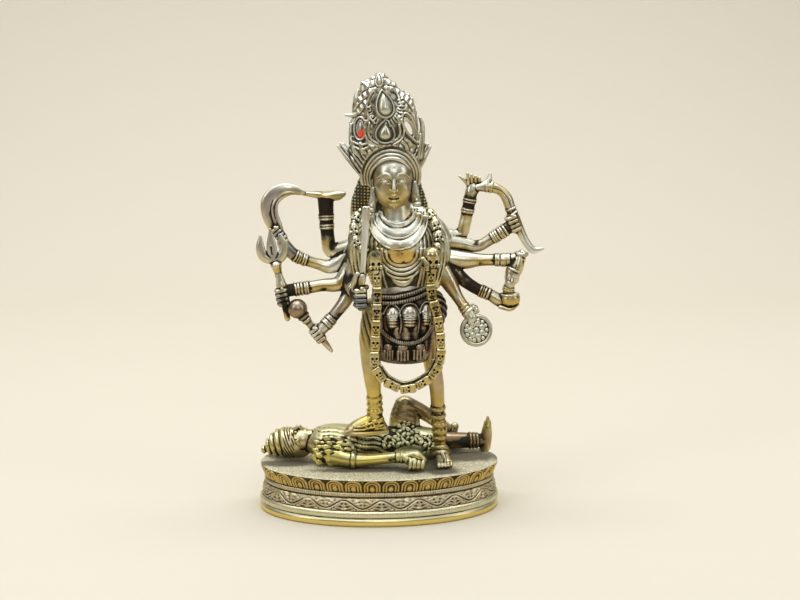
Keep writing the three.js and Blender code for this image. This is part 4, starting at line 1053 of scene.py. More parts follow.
def modelLeftArms(clay):
    for arm in leftArms.values():
        modelArm(clay, arm)
    # Flat open palm
    clay.limb([(-19.0, -0.3, 70, 0.5, 0.8), (-16.2, 0, 69.7, 0.75, 1.8), (-13.2, 0, 69.5, 1, 2),
               (-10.7, 0.3, 69.4, 1.3, 1.6), (-8.9, 0.3, 69.8, 0.7, 1)], 0.5)
    for i in range(4):
        clay.limb([(-14.6, -1.5 + i, 69.9, 0.48), (-17.4, -1.2 + 0.75 * i, 70.1, 0.45),
                   (-19.4, -0.9 + 0.5 * i, 70.15, 0.3)], 0.06)
    # Curved sword blade with a ridge
    blade = [(-24.3, -1.9, 58.4, 1.0, 1.0), (-26, -1.9, 61.7, 1.8, 0.9), (-27.4, -1.9, 65.2, 2.1, 0.72),
             (-27.2, -1.9, 68.4, 2.2, 0.7), (-25, -1.9, 70.5, 1.95, 0.68), (-22.1, -1.9, 71.2, 1.4, 0.55),
             (-18.9, -1.4, 70.4, 0.7, 0.5)]
    clay.limb(blade, 0.1, 10)
    inner = [(-24.6, -2.6, 60.4, 0.17), (-25.6, -2.75, 63.4, 0.2), (-25.9, -2.75, 66.4, 0.2),
             (-24.6, -2.7, 69, 0.2), (-22.2, -2.6, 70.2, 0.2), (-19.6, -2.2, 70.1, 0.16)]
    clay.carve(sweep(inner), 0.1)
    clay.limb([(p[0] - 0.75, p[1] + 0.2, p[2] + 0.35, 0.24) for p in inner], 0.15)
    clay.press(fist((-25.1, -1.9, 60.2), (-0.62, 0, 0.79), 0.95), 0.12)
    clay.limb([(-24.9, -3.1, 59.9, 0.75, 0.5), (-25.2, -3.3, 57.9, 0.3, 0.3)], 0.1)
    clay.press(turned((-23.6, -1.9, 57.4), (-24.4, -1.9, 59),
                      [(0, 0), (0.1, 1.2), (0.7, 1.3), (1.3, 0.9), (1.8, 0)]), 0.1)
    # Trident
    clay.limb([(-23.3, -4.4, 38.8, 0.75), (-24.0, -4.4, 42.6, 0.85), (-24.6, -4.4, 45.5, 0.9)], 0.05)
    clay.press(turned((-24.4, -4.4, 46.2), (-26.2, -4.4, 53.6),
                      [(-0.6, 0), (-0.5, 1.3), (0, 1.6), (0.5, 1.2), (1.2, 1.45), (2.4, 1.15), (4.4, 0.9),
                       (5.6, 1.15), (6.6, 1.5), (7.4, 1), (7.7, 0)]), 0.15)
    for prong in ([(-26.3, -4.4, 53.2, 1.1, 0.8), (-27, -4.4, 57, 1.3, 0.75), (-27.25, -4.4, 61.6, 0.3)],
                  [(-26.4, -4.4, 53.6, 1.1, 0.8), (-29.0, -4.4, 54.7, 1.25, 0.78),
                   (-29.8, -4.4, 57.2, 1.08, 0.7), (-29.7, -4.4, 60, 0.3)],
                  [(-26, -4.4, 53.6, 1.1, 0.8), (-24.4, -4.4, 54.9, 1.25, 0.78),
                   (-23.8, -4.4, 57.4, 1.02, 0.7), (-24.6, -4.4, 60.3, 0.3)]):
        clay.limb(prong, 0.15, 8)
    for run in ([(-28.5, -5.3, 55.9), (-28.7, -5.3, 57.6), (-28.4, -5.3, 58.8)],
                [(-25.2, -5.3, 55.4), (-24.8, -5.3, 56.8), (-25.1, -5.3, 58.4)],
                [(-26.9, -5.3, 55.4), (-27.1, -5.2, 57.2)]):
        clay.carve(sweep([(*p, 0.3) for p in run]), 0.12)
    clay.press(fist((-24.3, -4.2, 44.4), (-0.2, 0, 0.98), 1.12), 0.12)
    # Mace
    head, tail = (-20.7, -5, 41.4), (-12.3, -5, 30.5)
    profile = [(-2.6, 0), (-2.3, 1.1), (-1.3, 2.15), (-0.1, 2.5), (1.0, 2.25), (1.6, 1.7), (1.8, 1.15),
               (2.1, 1.5), (2.6, 1.7), (3.0, 1.35), (3.2, 1.1), (3.6, 1.35), (4.0, 1.2), (4.4, 0.95),
               (11, 0.85), (12.6, 0.7), (14.2, 0.35), (14.4, 0)]
    clay.press(turned(head, tail, profile), 0)
    clay.press(ball(head, 2.5), 0.1)
    clay.press(fist((-15.6, -5, 34.8), (-0.61, 0, 0.79), 1.0), 0.12)
    # Long sword and the fist in front
    clay.press(fist((-4.7, -10.4, 45.2), (-0.05, 0, 1), 1.22), 0.12)
    clay.limb([(-6.2, -10.5, 47.2, 0.95, 0.8), (-6.1, -10.8, 49.3, 1.0, 0.7), (-5.6, -11, 51.2, 0.65, 0.6)],
              0.2)
    clay.limb([(-4.9, -11, 47.8, 0.85), (-4.6, -11.1, 49.6, 1.0, 0.8), (-4.4, -11.1, 50.8, 0.8)], 0.1)
    clay.press(rod((-4.4, -11.15, 49.6), (-3.35, -11.15, 67.7), 0.62, 1.02, 0.5, 0.42), 0.05)
    clay.press(rod((-4.35, -11.5, 51), (-3.35, -11.5, 67.2), 0.16, 0.2), 0.12)
    clay.press(turned((-4.9, -10.9, 41.9), (-4.8, -10.9, 43),
                      [(0, 0), (0.1, 0.7), (0.6, 0.9), (1.1, 0.5), (1.2, 0)]), 0.1)


def modelRightArms(clay):
    for arm in rightArms.values():
        modelArm(clay, arm)
    # Open hand with the thumb out
    clay.press(ball((24, 0, 71.2), (1.75, 1.3, 1.8)), 0.4)
    clay.limb([(23.6, 0, 71.4, 0.8), (22, -0.2, 72.9, 0.56), (20.4, -0.4, 74.2, 0.28)], 0.3)
    for i in range(4):
        x = 22.6 + 0.95 * i
        clay.limb([(x + 0.1, -0.4, 72.2, 0.5), (x - 0.05, -0.6, 73.6, 0.46),
                   (x - 0.2 + 0.1 * i, -0.9, 74.9 - 0.35 * i, 0.34)], 0.08)
    # Bow with its curl
    bow = [[25.2, -0.6, 71.4, 1], [27.9, -0.9, 71.6, 1.4], [30.7, -0.9, 70.6, 1.2], [32.4, -1.2, 68.7, 1.4],
           [33.4, -1.2, 66, 1.35], [34.7, -1.2, 63.2, 1.3], [36.3, -1.2, 59.6, 1.15],
           [37.7, -1.2, 57.1, 1.05], [39.4, -1.2, 55.4, 0.95], [41.9, -1.2, 55.7, 0.3]]
    clay.limb(bow, 0.15, 8)
    clay.limb([(26.6, -0.8, 71.6, 1.1), (27.8, -0.9, 73.3, 0.8), (28.2, -0.9, 75, 0.28)], 0.4)
    clay.press(rings(bow, (0.08, 0.13, 0.44, 0.49), 0.25, 0.32), 0.08)
    clay.carve(sweep([(p[0] + 0.1, p[1] - p[3] * 0.95, p[2], 0.12) for p in bow[1:9]]), 0.1)
    clay.press(fist((34.3, -1.6, 62.4), (-0.4, 0, 0.92), 1.08), 0.12)
    clay.press(fist((35.6, -3.7, 53.0), (0.3, 0, 0.95), 1.05), 0.12)
    # Severed head held by its hair
    clay.limb([(35.6, -4.4, 54.4, 1), (34.9, -4.4, 51.9, 1.7, 1.8), (33.8, -4.4, 50.2, 2.0, 1.9)], 0.2)
    clay.press(ball((33.6, -4.5, 49), (1.95, 1.95, 2.2)), 0.2)
    clay.press(ball((33.1, -5.3, 47.4), (1.25, 1.2, 1.2)), 0.3)
    clay.limb([(33.0, -4.3, 47, 1.35), (32.7, -4.2, 45.6, 1.45)], 0.15)
    clay.press(rings([[33.0, -4.3, 47, 1.35], [32.7, -4.2, 45.4, 1.45]], (0.5, 0.85), 0.22, 0.3), 0.05)
    clay.press(torus((34.2, -4.4, 50.9), (0.35, 0, 0.94), 1.75, 0.34), 0.05)
    for dx in (-0.62, 0.62):
        clay.carve(ball((33.4 + dx, -6.3, 48.8), (0.4, 0.4, 0.26)), 0.08)
        clay.press(ball((33.4 + dx, -6.15, 48.75), (0.3, 0.22, 0.17)), 0.03)
        clay.line([(33.4 + dx * 0.5, 49.3), (33.4 + dx * 1.2, 49.5), (33.4 + dx * 1.9, 49.2)], 0.12, 0.14,
                  0.05)
    clay.limb([(33.45, -6.2, 49.1, 0.2), (33.3, -6.65, 48.2, 0.3)], 0.15)
    clay.carve(ball((33.15, -6.6, 47.35), (0.5, 0.3, 0.12)), 0.06)
    for i in range(5):
        clay.carve(sweep([(34.0 + 0.5 * i, -6.2 + 0.25 * i, 50.9 + 0.1 * i, 0.1),
                          (34.6 + 0.4 * i, -6.1 + 0.3 * i, 52.6, 0.1)]), 0.08)
    # Bowl
    clay.press(turned((33.3, -3.9, 41.2), (33.1, -3.9, 46), [(0, 0), (0.1, 1.7), (1.3, 2.6), (2.5, 2.65),
                                                             (3.3, 2.35), (3.7, 1.9), (3.75, 1.5),
                                                             (3.3, 1.4), (3.0, 0)]), 0.15)
    clay.press(torus((33.15, -3.9, 44.4), (-0.04, 0, 1), 2.2, 0.32), 0.1)
    for i in range(4):
        clay.limb([(30.6, -5.2 + 0.6 * i, 41.4, 0.5), (33.2, -5.9 + 0.5 * i, 40.9, 0.46),
                   (35.2, -5.2 + 0.4 * i, 42, 0.36)], 0.06)
    # Disc with a rosette in low relief
    hub, face = np.array((24.4, -6.9, 35.8)), (0, -0.98, 0.18)
    clay.press(turned(hub, hub + np.array(face), [(-0.6, 0), (-0.6, 3.9), (-0.2, 4.2), (0.35, 4.1),
                                                  (0.62, 3.85), (0.6, 3.35), (0.42, 3.2), (0.4, 0)]), 0.05)
    outward = unitVector(face)
    right = unitVector(np.cross((0, 0, 1), outward))
    top = np.cross(outward, right)
    for count, far, wide in ((7, 1.6, 0.72), (14, 2.6, 0.44)):
        for i in range(count):
            turn = 2 * math.pi * i / count + 0.2
            clay.press(ball(hub + outward * 0.34 + (right * math.sin(turn) + top * math.cos(turn)) * far,
                            (wide, 0.36, wide)), 0.06)
    clay.press(ball(hub + outward * 0.35, (0.75, 0.5, 0.75)), 0.06)
    for i in range(28):
        turn = 2 * math.pi * i / 28
        ray = right * math.sin(turn) + top * math.cos(turn)
        clay.carve(ball(hub + outward * 0.76 + ray * 3.66, 0.11), 0.03)
    clay.press(fist((23.0, -5.2, 40.3), (0.85, 0, 0.5), 0.85), 0.4)


# Lying figure

lyingShape = {
    "hair": [[-51, 8.2, 1.8, 0.7], [-46.5, 7.2, 4.1, 3.4], [-41.6, 5.2, 6.5, 6.2], [-37, 3.6, 6.9, 6.5]],
    "torso": [[-29, 1.6, 7.4, 4, 5], [-23, 1.4, 7.6, 7.2, 10.4], [-14, 1.2, 7.6, 7.4, 10],
              [-5, 2.4, 6.8, 6.4, 8.4], [4, 3.2, 6.8, 6.2, 8], [14, 3.4, 7.2, 6.6, 8.6],
              [22, 4.6, 6.4, 5.6, 8]],
    "nearArm": [[-21, -8.2, 4.8, 4], [-12.7, -11.3, 3.6, 3.3], [-4.2, -12, 3.6, 2.5],
                [4.2, -12.6, 4.4, 2.3], [10.1, -13.9, 5, 2.5], [14, -16, 3.8, 2.7]],
    "farArm": [[-20, 9, 7, 3.4], [-6, 15, 4.6, 2.8], [8, 16.6, 3.4, 2.2], [15, 16, 2.4, 2]],
    "thigh": [[10.8, 5, 9, 7.0, 4.6], [11.2, 5, 17.6, 6.4, 4], [11.2, 5.2, 23.4, 4.4, 3]],
    "shin": [[11.4, 5.2, 23, 3.7], [19, 7.2, 18.8, 3.2], [24, 9.4, 14.8, 2.9], [29.7, 13.4, 9.6, 2.6],
             [33, 15.4, 6, 2.4]],
    "flatLeg": [[18, 6.2, 6, 4.6], [26, 8.4, 5.3, 4], [37, 10.3, 4.7, 3.5], [46.4, 10.8, 4.4, 2.9]],
}


def modelLying(clay):
    clay.limb(lyingShape["torso"], 0)
    clay.limb(lyingShape["hair"], 0.4)
    clay.press(ball((-34.3, 3.6, 7.0), (6.2, 5.6, 6.8)), 0.4)

    def coils(x, y, z):
        # Broad coils of the long hair, then finer combed strands up to the face
        run = x + 0.3 * z - 0.15 * y
        broad = 0.42 * wave(run, 3.1) * ramp(-41 - x, 1)
        fine = 0.2 * wave(run + 0.2 * z, 1.3) * ramp(x + 42, 1) * ramp(-36.2 - x, 1)
        return broad + fine

    clay.ripple((-52, -8, -0.4), (-35, 14, 18), coils)
    # Face looking up, with a raised edge of hair, ear and beard line
    clay.press(ball((-33.2, 1.6, 8.9), (5.4, 4.9, 4.6)), 0.6)
    clay.limb([(-38.4, -2.6, 7.6, 0.5), (-38.2, -0.8, 11.4, 0.6), (-38.0, 1.6, 13.2, 0.6),
               (-38.2, 5.2, 12, 0.5)], 0.15)
    clay.limb([(-36.8, 1.6, 12.8, 0.7), (-34.8, 1.6, 14.7, 0.85), (-33.8, 1.6, 13.8, 0.85)], 0.4)
    for side in (-1, 1):
        clay.carve(ball((-36.0, 1.6 + 2.0 * side, 13.4), (0.9, 1.1, 0.9)), 0.3)
        clay.press(ball((-36.0, 1.6 + 2.0 * side, 12.6), (0.7, 1.0, 0.6)), 0.12)
        clay.limb([(-37.3, 1.6 + 0.8 * side, 13.2, 0.3), (-37.3, 1.6 + 2.8 * side, 12.2, 0.28)], 0.15)
    clay.press(ball((-31.7, 1.6, 13.1), (0.75, 1.7, 0.6)), 0.15)
    clay.carve(ball((-31.7, 1.6, 13.6), (0.16, 1.3, 0.3)), 0.06)
    clay.press(ball((-29.6, 1.2, 10.6), (2.6, 3.2, 2.7)), 0.6)
    clay.limb([(-35.6, -3.2, 9.6, 0.8, 0.5), (-34.6, -3.6, 8.0, 0.6, 0.45)], 0.12)
    clay.limb([(-31, 2.6, 6.8, 3.4), (-24, 1.6, 7, 4.6)], 0.6)
    # Mantle of broad leaves over the near shoulder
    clay.press(ball((-19.5, -7.4, 5), (9.2, 4.2, 5)), 0.8)
    rng = np.random.default_rng(7)
    for i in range(26):
        x, z = -27.5 + 18 * ((i * scatter[0]) % 1), 1.2 + 10.4 * ((i * scatter[1]) % 1)
        y = clay.reach(x, z)
        if y is not None and y < -1:
            lean, size = rng.uniform(-0.9, 0.4), rng.uniform(0.85, 1.25)
            clay.limb([(x - 1.6 * size, y + 0.1, z + 0.6, 0.6, 0.4), (x, y - 0.5, z, 1.45 * size, 0.62),
                       (x + 1.9 * size, y + 0.05, z - 0.7 + lean, 0.4, 0.35)], 0.1, 4)
    for i in range(4):
        run = [(-28.4 + 1.6 * i, 0.6, 13.1), (-26.4 + 1.6 * i, -4, 11.6 - 0.3 * i),
               (-23.6 + 1.6 * i, -8, 8.2 - 0.3 * i)]
        clay.limb([(*p, 0.5) for p in run], 0.15)
    clay.limb([(-16.5, -7.2, 9.4, 2.6), (-12.6, -7.6, 7.6, 2.2), (-12.4, -8.2, 4.6, 1.8)], 0.5)
    # Arms
    clay.limb(lyingShape["nearArm"], 0.4)
    clay.press(rings(lyingShape["nearArm"], (0.235,), 0.75, 1.35), 0.12)
    clay.press(rings(lyingShape["nearArm"], (0.7, 0.76), 0.3, 0.5), 0.12)
    clay.limb([(11.4, -14.6, 6.0, 1.9), (14.8, -15.6, 6.4, 2.2), (17.6, -16.4, 4.6, 1.7)], 0.3)
    for i in range(4):
        x = 12.2 + 1.75 * i
        clay.limb([(x - 0.2, -15.4, 5.6 - 0.3 * i, 0.95), (x + 0.3, -17.8, 4.6 - 0.2 * i, 0.9),
                   (x, -18.6, 2.2, 0.85), (x - 0.4, -17.6, 1.1, 0.8)], 0.14)
    clay.limb(lyingShape["farArm"], 0.4)
    for i in range(4):
        clay.limb([(15, 14.4 + 1.1 * i, 2.2, 0.7), (18.6, 14.2 + 1.2 * i, 1.3, 0.6)], 0.12)
    # Legs
    clay.limb(lyingShape["flatLeg"], 0.5)
    clay.limb(lyingShape["thigh"], 0.5)
    clay.limb(lyingShape["shin"], 0.5)
    clay.limb([(32.4, 14.8, 6, 2.4), (34, 15.4, 9.6, 1.8)], 0.3)
    clay.limb([(31.4, 15.4, 3, 2.7), (36.4, 16.2, 2, 1.8)], 0.3)
    for i in range(4):
        clay.limb([(35.4, 14.6 + 1.0 * i, 2.4, 0.75), (38, 14.8 + 1.1 * i, 1.4, 0.6)], 0.12)
    clay.limb([(47, 10.4, 1.6, 2.5), (47.6, 10.4, 7.2, 2.5), (48, 10.3, 12.4, 1.7)], 0.4)
    for i in range(5):
        y = 8.4 + 1.0 * i
        clay.limb([(47.8, y, 11.6, 0.75), (48.2, y, 14.2, 0.6), (48.0, y, 15.9 - 0.35 * i, 0.42)], 0.1)
    clay.press(rings(lyingShape["flatLeg"], (0.78, 0.84, 0.9), 0.5, 0.75), 0.12)
    clay.press(rings(lyingShape["shin"], (0.84, 0.9), 0.4, 0.6), 0.12)

    def stripes(x, y, z):
        # Faint lion-skin stripes over the raised thigh, folds along the chest
        thigh = 0.05 * wave(z + 0.35 * x, 2.4) * ramp(z - 15, 2) * ramp(x - 3, 2)
        chest = 0.1 * wave(z + 0.12 * x + 0.5 * y + 0.3 * np.sin(0.7 * x), 2.3)
        return thigh + chest * ramp(x + 29, 3) * ramp(3 - x, 3)

    clay.ripple((-30, -12, 3), (19, 12, 27), stripes)
    # Loincloth of small leaves
    for i in range(170):
        x, z = 1.6 + 27 * ((i * scatter[0]) % 1), 1.8 + 17 * ((i * scatter[1]) % 1)
        if z > max(12.8 - 0.22 * abs(x - 13), 18 - 1.1 * abs(x - 11)):
            continue
        y = clay.reach(x, z)
        if y is not None and -10 < y < 7:
            a, b = rng.uniform(-1.3, 1.3), rng.uniform(0.5, 1.05)
            clay.limb([(x - b, y + 0.1, z + a, 0.4), (x, y - 0.4, z + 0.1, 1.0 * b, 0.55),
                       (x + b * 1.2, y - 0.05, z - a, 0.3)], 0.08, 3)


# Plinth: rings of carving round an oval

plinthShape = {
    "petals": 32,
    "waves": 16,
    "nick": 2.0,  # mm between the nicks of the cord and of the lower band
    # inset from the oval and height of each edge of the profile, both in mm
    "profile": [(1.6, 0), (1.0, 0.6), (0.35, 1.4), (0.1, 3), (0.1, 4.8), (0.5, 5.4), (1.3, 6.1), (2.0, 6.6),
                (2.15, 7.1), (1.2, 7.5), (0.6, 7.9), (0.35, 8.8), (0.3, 10), (0.4, 11.2), (0.7, 12),
                (1.3, 12.5), (1.9, 12.9), (2.3, 14), (2.7, 16), (2.95, 18.4), (3.5, 20.6), (4.3, 22.2),
                (5.2, 23), (5.5, 23.5), (4.9, 24.1), (4.55, 24.9), (4.5, 25.8), (4.7, 26.6), (5.1, 27.2),
                (5.5, 27.7), (5.1, 28.2), (4.2, 30.2), (3.2, 32.8), (2.2, 35.6), (1.5, 37.4), (1.1, 38.4),
                (1.0, 39.0), (1.3, 39.4), (2.2, 39.5)],
    "around": 1120,
    # mm between the rows from each height up
    "rowSteps": [(0, 1.1), (6, 0.85), (8, 0.7), (12.8, 0.5), (23.2, 0.55), (27.8, 0.45), (38.6, 0.35)],
}


def ovalRing(width, depth, count):
    # Angles at even steps along the oval, and its length
    turns = np.linspace(0, 2 * math.pi, 7201)
    steps = np.hypot(np.diff(width * np.cos(turns)), np.diff(depth * np.sin(turns)))
    along = np.concatenate([[0], np.cumsum(steps)])
    return np.interp(np.linspace(0, along[-1], count, endpoint=False), along, turns), along[-1]


def plinthRelief(u, z, length):
    # How far the carving stands out, in mm, at a share of the way round and a height
    rng = np.random.default_rng(3)
    nicks = np.round(length / plinthShape["nick"])
    wobble = np.interp(u * nicks, np.arange(0, nicks + 1), rng.uniform(0.45, 1, int(nicks) + 1))
    fewer = np.round(nicks * 0.85)
    cord = 0.45 * (0.4 - np.cos(2 * math.pi * u * nicks)) * wobble * np.exp(-(((z - 25.6) / 1.5) ** 4))
    lower = 0.4 * (0.4 - np.cos(2 * math.pi * u * fewer)) * wobble * np.exp(-(((z - 10.1) / 1.6) ** 4))
    # Petals: arches with upright sides, one inside another, round a boss
    half = length / plinthShape["petals"] / 2
    across = ((u * plinthShape["petals"]) % 1 * 2 - 1) * half
    up = z - 28.2
    arch = np.hypot(across, np.maximum(up - 4.6, 0) * (half * 0.88) / 5.4) / half
    boss = np.hypot(across / half / (0.28 - 0.03 * np.clip(up - 2, 0, 4)), (up - 2.4) / 2.7)
    ridges = 0.85 * np.exp(-(((arch - 0.8) / 0.085) ** 2)) + 0.75 * np.exp(-(((arch - 0.5) / 0.08) ** 2))
    ridges = ridges + 0.85 * np.sqrt(np.clip(1 - boss**2, 0, 1)) - 0.25
    groove = ramp(arch - 0.9, 0.06)
    inPetals = ramp(z - 28.1, 0.5) * ramp(38.7 - z, 0.4)
    petals = (ridges * (1 - groove) - 1.25 * groove) * inPetals
    # Scroll: a double line that waves, with leaves in its bends over a stippled ground
    turns = u * plinthShape["waves"] * 2 * math.pi
    scrollMiddle, scrollRise = 18.1, 3.1
    steep = scrollRise * np.sin(turns) * plinthShape["waves"] * 2 * math.pi / length
    off = (z - scrollMiddle - scrollRise * np.cos(turns)) / np.sqrt(1 + steep**2)
    line = 0.8 * np.exp(-(((np.abs(off) - 1.15) / 0.42) ** 2))
    bendAcross = ((turns / math.pi + 0.5) % 1) * 2 - 1
    bend = np.where(((turns / math.pi + 0.5) % 2) < 1, -1, 1)
    side = bendAcross * length / plinthShape["waves"] / 4
    leafUp = bend * (z - scrollMiddle) + 4.6
    reach = np.hypot(side * 0.8, leafUp)
    fan = np.cos(np.arctan2(side, leafUp + 1e-6) * 8) * np.clip(reach / 2, 0, 1)
    lobes = wave(reach - 0.4, 2.6)
    leaves = (0.3 * fan + 0.2 * lobes + 0.15) * ramp(np.abs(off) - 1.5, 0.4)
    inBand = ramp(z - 13.2, 0.6) * ramp(23.1 - z, 0.6)
    # Half rosettes where the scroll meets at the two ends
    rosette = 0
    for end in (0.0, 0.5, 1.0):
        distance = np.hypot((u - end) * length, z - 22.6)
        cover = ramp(8.8 - distance, 0.8)
        line, leaves = line * (1 - cover), leaves * (1 - cover)
        rosette = rosette + 0.75 * wave(distance, 2.9) * ramp(8.2 - distance, 0.8)
    return cord + lower + petals + (line + leaves + rosette) * inBand


def modelPlinth():
    shape = plinthShape
    halfWide, halfDeep = (plinthHigh.x - plinthLow.x) * 500, (plinthHigh.y - plinthLow.y) * 500
    middle = (plinthLow + plinthHigh) / 2
    around = shape["around"]
    turns, length = ovalRing(halfWide, halfDeep, around)
    insets, heights = np.array(shape["profile"]).T
    along = np.concatenate([[0], np.cumsum(np.hypot(np.diff(insets), np.diff(heights)))])
    rows = [0.0]
    while rows[-1] < along[-1] - 0.2:
        reached = np.interp(rows[-1], along, heights)
        steps = [step for height, step in shape["rowSteps"] if height <= reached + 0.01]
        rows.append(min(rows[-1] + steps[-1], along[-1]))
    inset, height = np.interp(rows, along, insets), np.interp(rows, along, heights)
    grid, z = np.meshgrid(np.arange(around) / around, height)
    out = plinthRelief(grid, z, length) - inset[:, None]
    angle = turns[None, :]
    x = np.clip((halfWide + out) * np.cos(angle), -halfWide, halfWide)
    y = np.clip((halfDeep + out) * np.sin(angle), -halfDeep, halfDeep)
    points = [np.stack([x, y, z], axis=-1).reshape(-1, 3)]
    index = np.arange(x.size).reshape(z.shape)
    below, over = index[:-1], index[1:]
    corners = [below, np.roll(below, -1, axis=1), np.roll(over, -1, axis=1), over]
    quads = [np.stack(corners, axis=-1).reshape(-1, 4)]
    # Stippled top, in rings of a quarter as many points, each smaller than the last
    rng = np.random.default_rng(5)
    last, total = index[-1], x.size
    a, b, c, d = (last[i::4] for i in range(4))
    ring = total + np.arange(len(a))
    after = np.roll(ring, -1)
    rim = ((a, b, ring), (b, c, ring), (c, after, ring), (c, d, after), (d, np.roll(a, -1), after))
    faces = [np.stack(corners, axis=-1) for corners in rim]
    ringCount, topHeight = 24, shape["profile"][-1][1]
    for step in range(1, ringCount + 1):
        share = 1 - step / ringCount
        lift = topHeight - 0.06 * rng.random(len(a)) - (0.2 if step > 1 else 0)
        points.append(np.stack([x[-1][::4] * share, y[-1][::4] * share, lift], axis=-1))
        if step > 1:
            quads.append(np.stack([ring, np.roll(ring, -1), np.roll(ring, -1) + len(a), ring + len(a)],
                                  axis=-1))
            ring = ring + len(a)
        total += len(a)
    points.append(np.array([[0, 0, 0.0]]))
    faces.append(np.stack([np.full(around, total), np.roll(index[0], -1), index[0]], axis=-1))
    points = np.vstack(points) / 1000 + np.array((middle.x, middle.y, 0))
    piece = bpy.data.objects.new("plinthCarving", meshFrom("plinthCarving", points, np.vstack(faces),
                                                           np.vstack(quads)))
    bpy.context.scene.collection.objects.link(piece)
    print("plinth", len(piece.data.polygons), "faces")
    return piece


# Brass finishes

finishes = {
    # gold; pale for the painted highlight on what faces up and for wear on proud places; dark for patina in
    # the hollows and painted shade underneath; how much of each; how rough
    "aged": {"gold": (0.50, 0.36, 0.10), "pale": (0.76, 0.76, 0.63), "dark": (0.014, 0.009, 0.006),
             "paleShare": 0.8, "darkShare": 0.97, "darkFrom": 0.55, "rough": 0.33},
    "shawl": {"gold": (0.50, 0.38, 0.12), "pale": (0.78, 0.79, 0.66), "dark": (0.03, 0.02, 0.01),
              "paleShare": 0.95, "darkShare": 0.92, "darkFrom": 0.45, "rough": 0.37},
    # skirt: very dark gold, partly its darker patina and partly painted shade under the garland
    "skirt": {"gold": (0.12, 0.075, 0.045), "pale": (0.62, 0.58, 0.47), "dark": (0.007, 0.004, 0.003),
              "paleShare": 0.6, "darkShare": 1.0, "darkFrom": 0.58, "rough": 0.34},
    "golden": {"gold": (0.47, 0.34, 0.09), "pale": (0.70, 0.64, 0.38), "dark": (0.02, 0.012, 0.005),
               "paleShare": 0.35, "darkShare": 0.95, "darkFrom": 0.47, "rough": 0.33},
    "garland": {"gold": (0.50, 0.37, 0.10), "pale": (0.74, 0.70, 0.46), "dark": (0.012, 0.008, 0.004),
                "paleShare": 0.5, "darkShare": 1.0, "darkFrom": 0.56, "rough": 0.28},
    "lying": {"gold": (0.54, 0.42, 0.10), "pale": (0.72, 0.73, 0.50), "dark": (0.02, 0.015, 0.008),
              "paleShare": 0.5, "darkShare": 0.97, "darkFrom": 0.53, "rough": 0.34},
    "plinth": {"gold": (0.52, 0.38, 0.11), "pale": (0.76, 0.72, 0.50), "dark": (0.03, 0.018, 0.01),
               "paleShare": 0.5, "darkShare": 0.92, "darkFrom": 0.46, "rough": 0.32},
}
finishes["crown"] = dict(
    finishes["aged"], gold=(0.43, 0.37, 0.22), pale=(0.76, 0.77, 0.69), dark=(0.07, 0.063, 0.05),
    darkFrom=0.45, paleShare=0.9)


def group(name, inputs, outputs):
    tree = bpy.data.node_groups.new(name, "ShaderNodeTree")
    for title, kind, value in inputs:
        socket = tree.interface.new_socket(title, in_out="INPUT", socket_type=kind)
        socket.default_value = value
    for title, kind in outputs:
        tree.interface.new_socket(title, in_out="OUTPUT", socket_type=kind)
    return tree, tree.nodes.new("NodeGroupInput"), tree.nodes.new("NodeGroupOutput")


def add(tree, kind, values=None, links=None):
    # A shader node, with values for its inputs or settings and links to its inputs
    made = tree.nodes.new(kind)
    for key, value in (values or {}).items():
        if isinstance(key, int) or key in made.inputs.keys():
            made.inputs[key].default_value = value
        else:
            setattr(made, key, value)
    for key, source in (links or {}).items():
        tree.links.new(source, made.inputs[key])
    return made


def noise(tree, place, scale, detail, **more):
    values = {"Scale": scale, "Detail": detail, **more}
    return add(tree, "ShaderNodeTexNoise", values, {"Vector": place}).outputs["Fac"]


def span(tree, source, low, high):
    # From 0 at low to 1 at high, smoothly; low may be the greater
    values = {"interpolation_type": "SMOOTHSTEP", "From Min": low, "From Max": high}
    return add(tree, "ShaderNodeMapRange", values, {"Value": source}).outputs["Result"]


def feed(tree, made, sources):
    # Links a node's input to each source that is an output, and sets it to each that is a value
    for socket, source in sources:
        if hasattr(source, "is_output"):
            tree.links.new(source, made.inputs[socket])
        else:
            made.inputs[socket].default_value = source


def blend(tree, share, a, b):
    mixer = add(tree, "ShaderNodeMix", {"data_type": "RGBA"})
    feed(tree, mixer, ((0, share), (6, a), (7, b)))
    return mixer.outputs[2]


def times(tree, a, b, kind="MULTIPLY"):
    # Two colourless values multiplied, or joined by another operation
    made = add(tree, "ShaderNodeMath", {"operation": kind})
    feed(tree, made, ((0, a), (1, b)))
    return made.outputs[0]


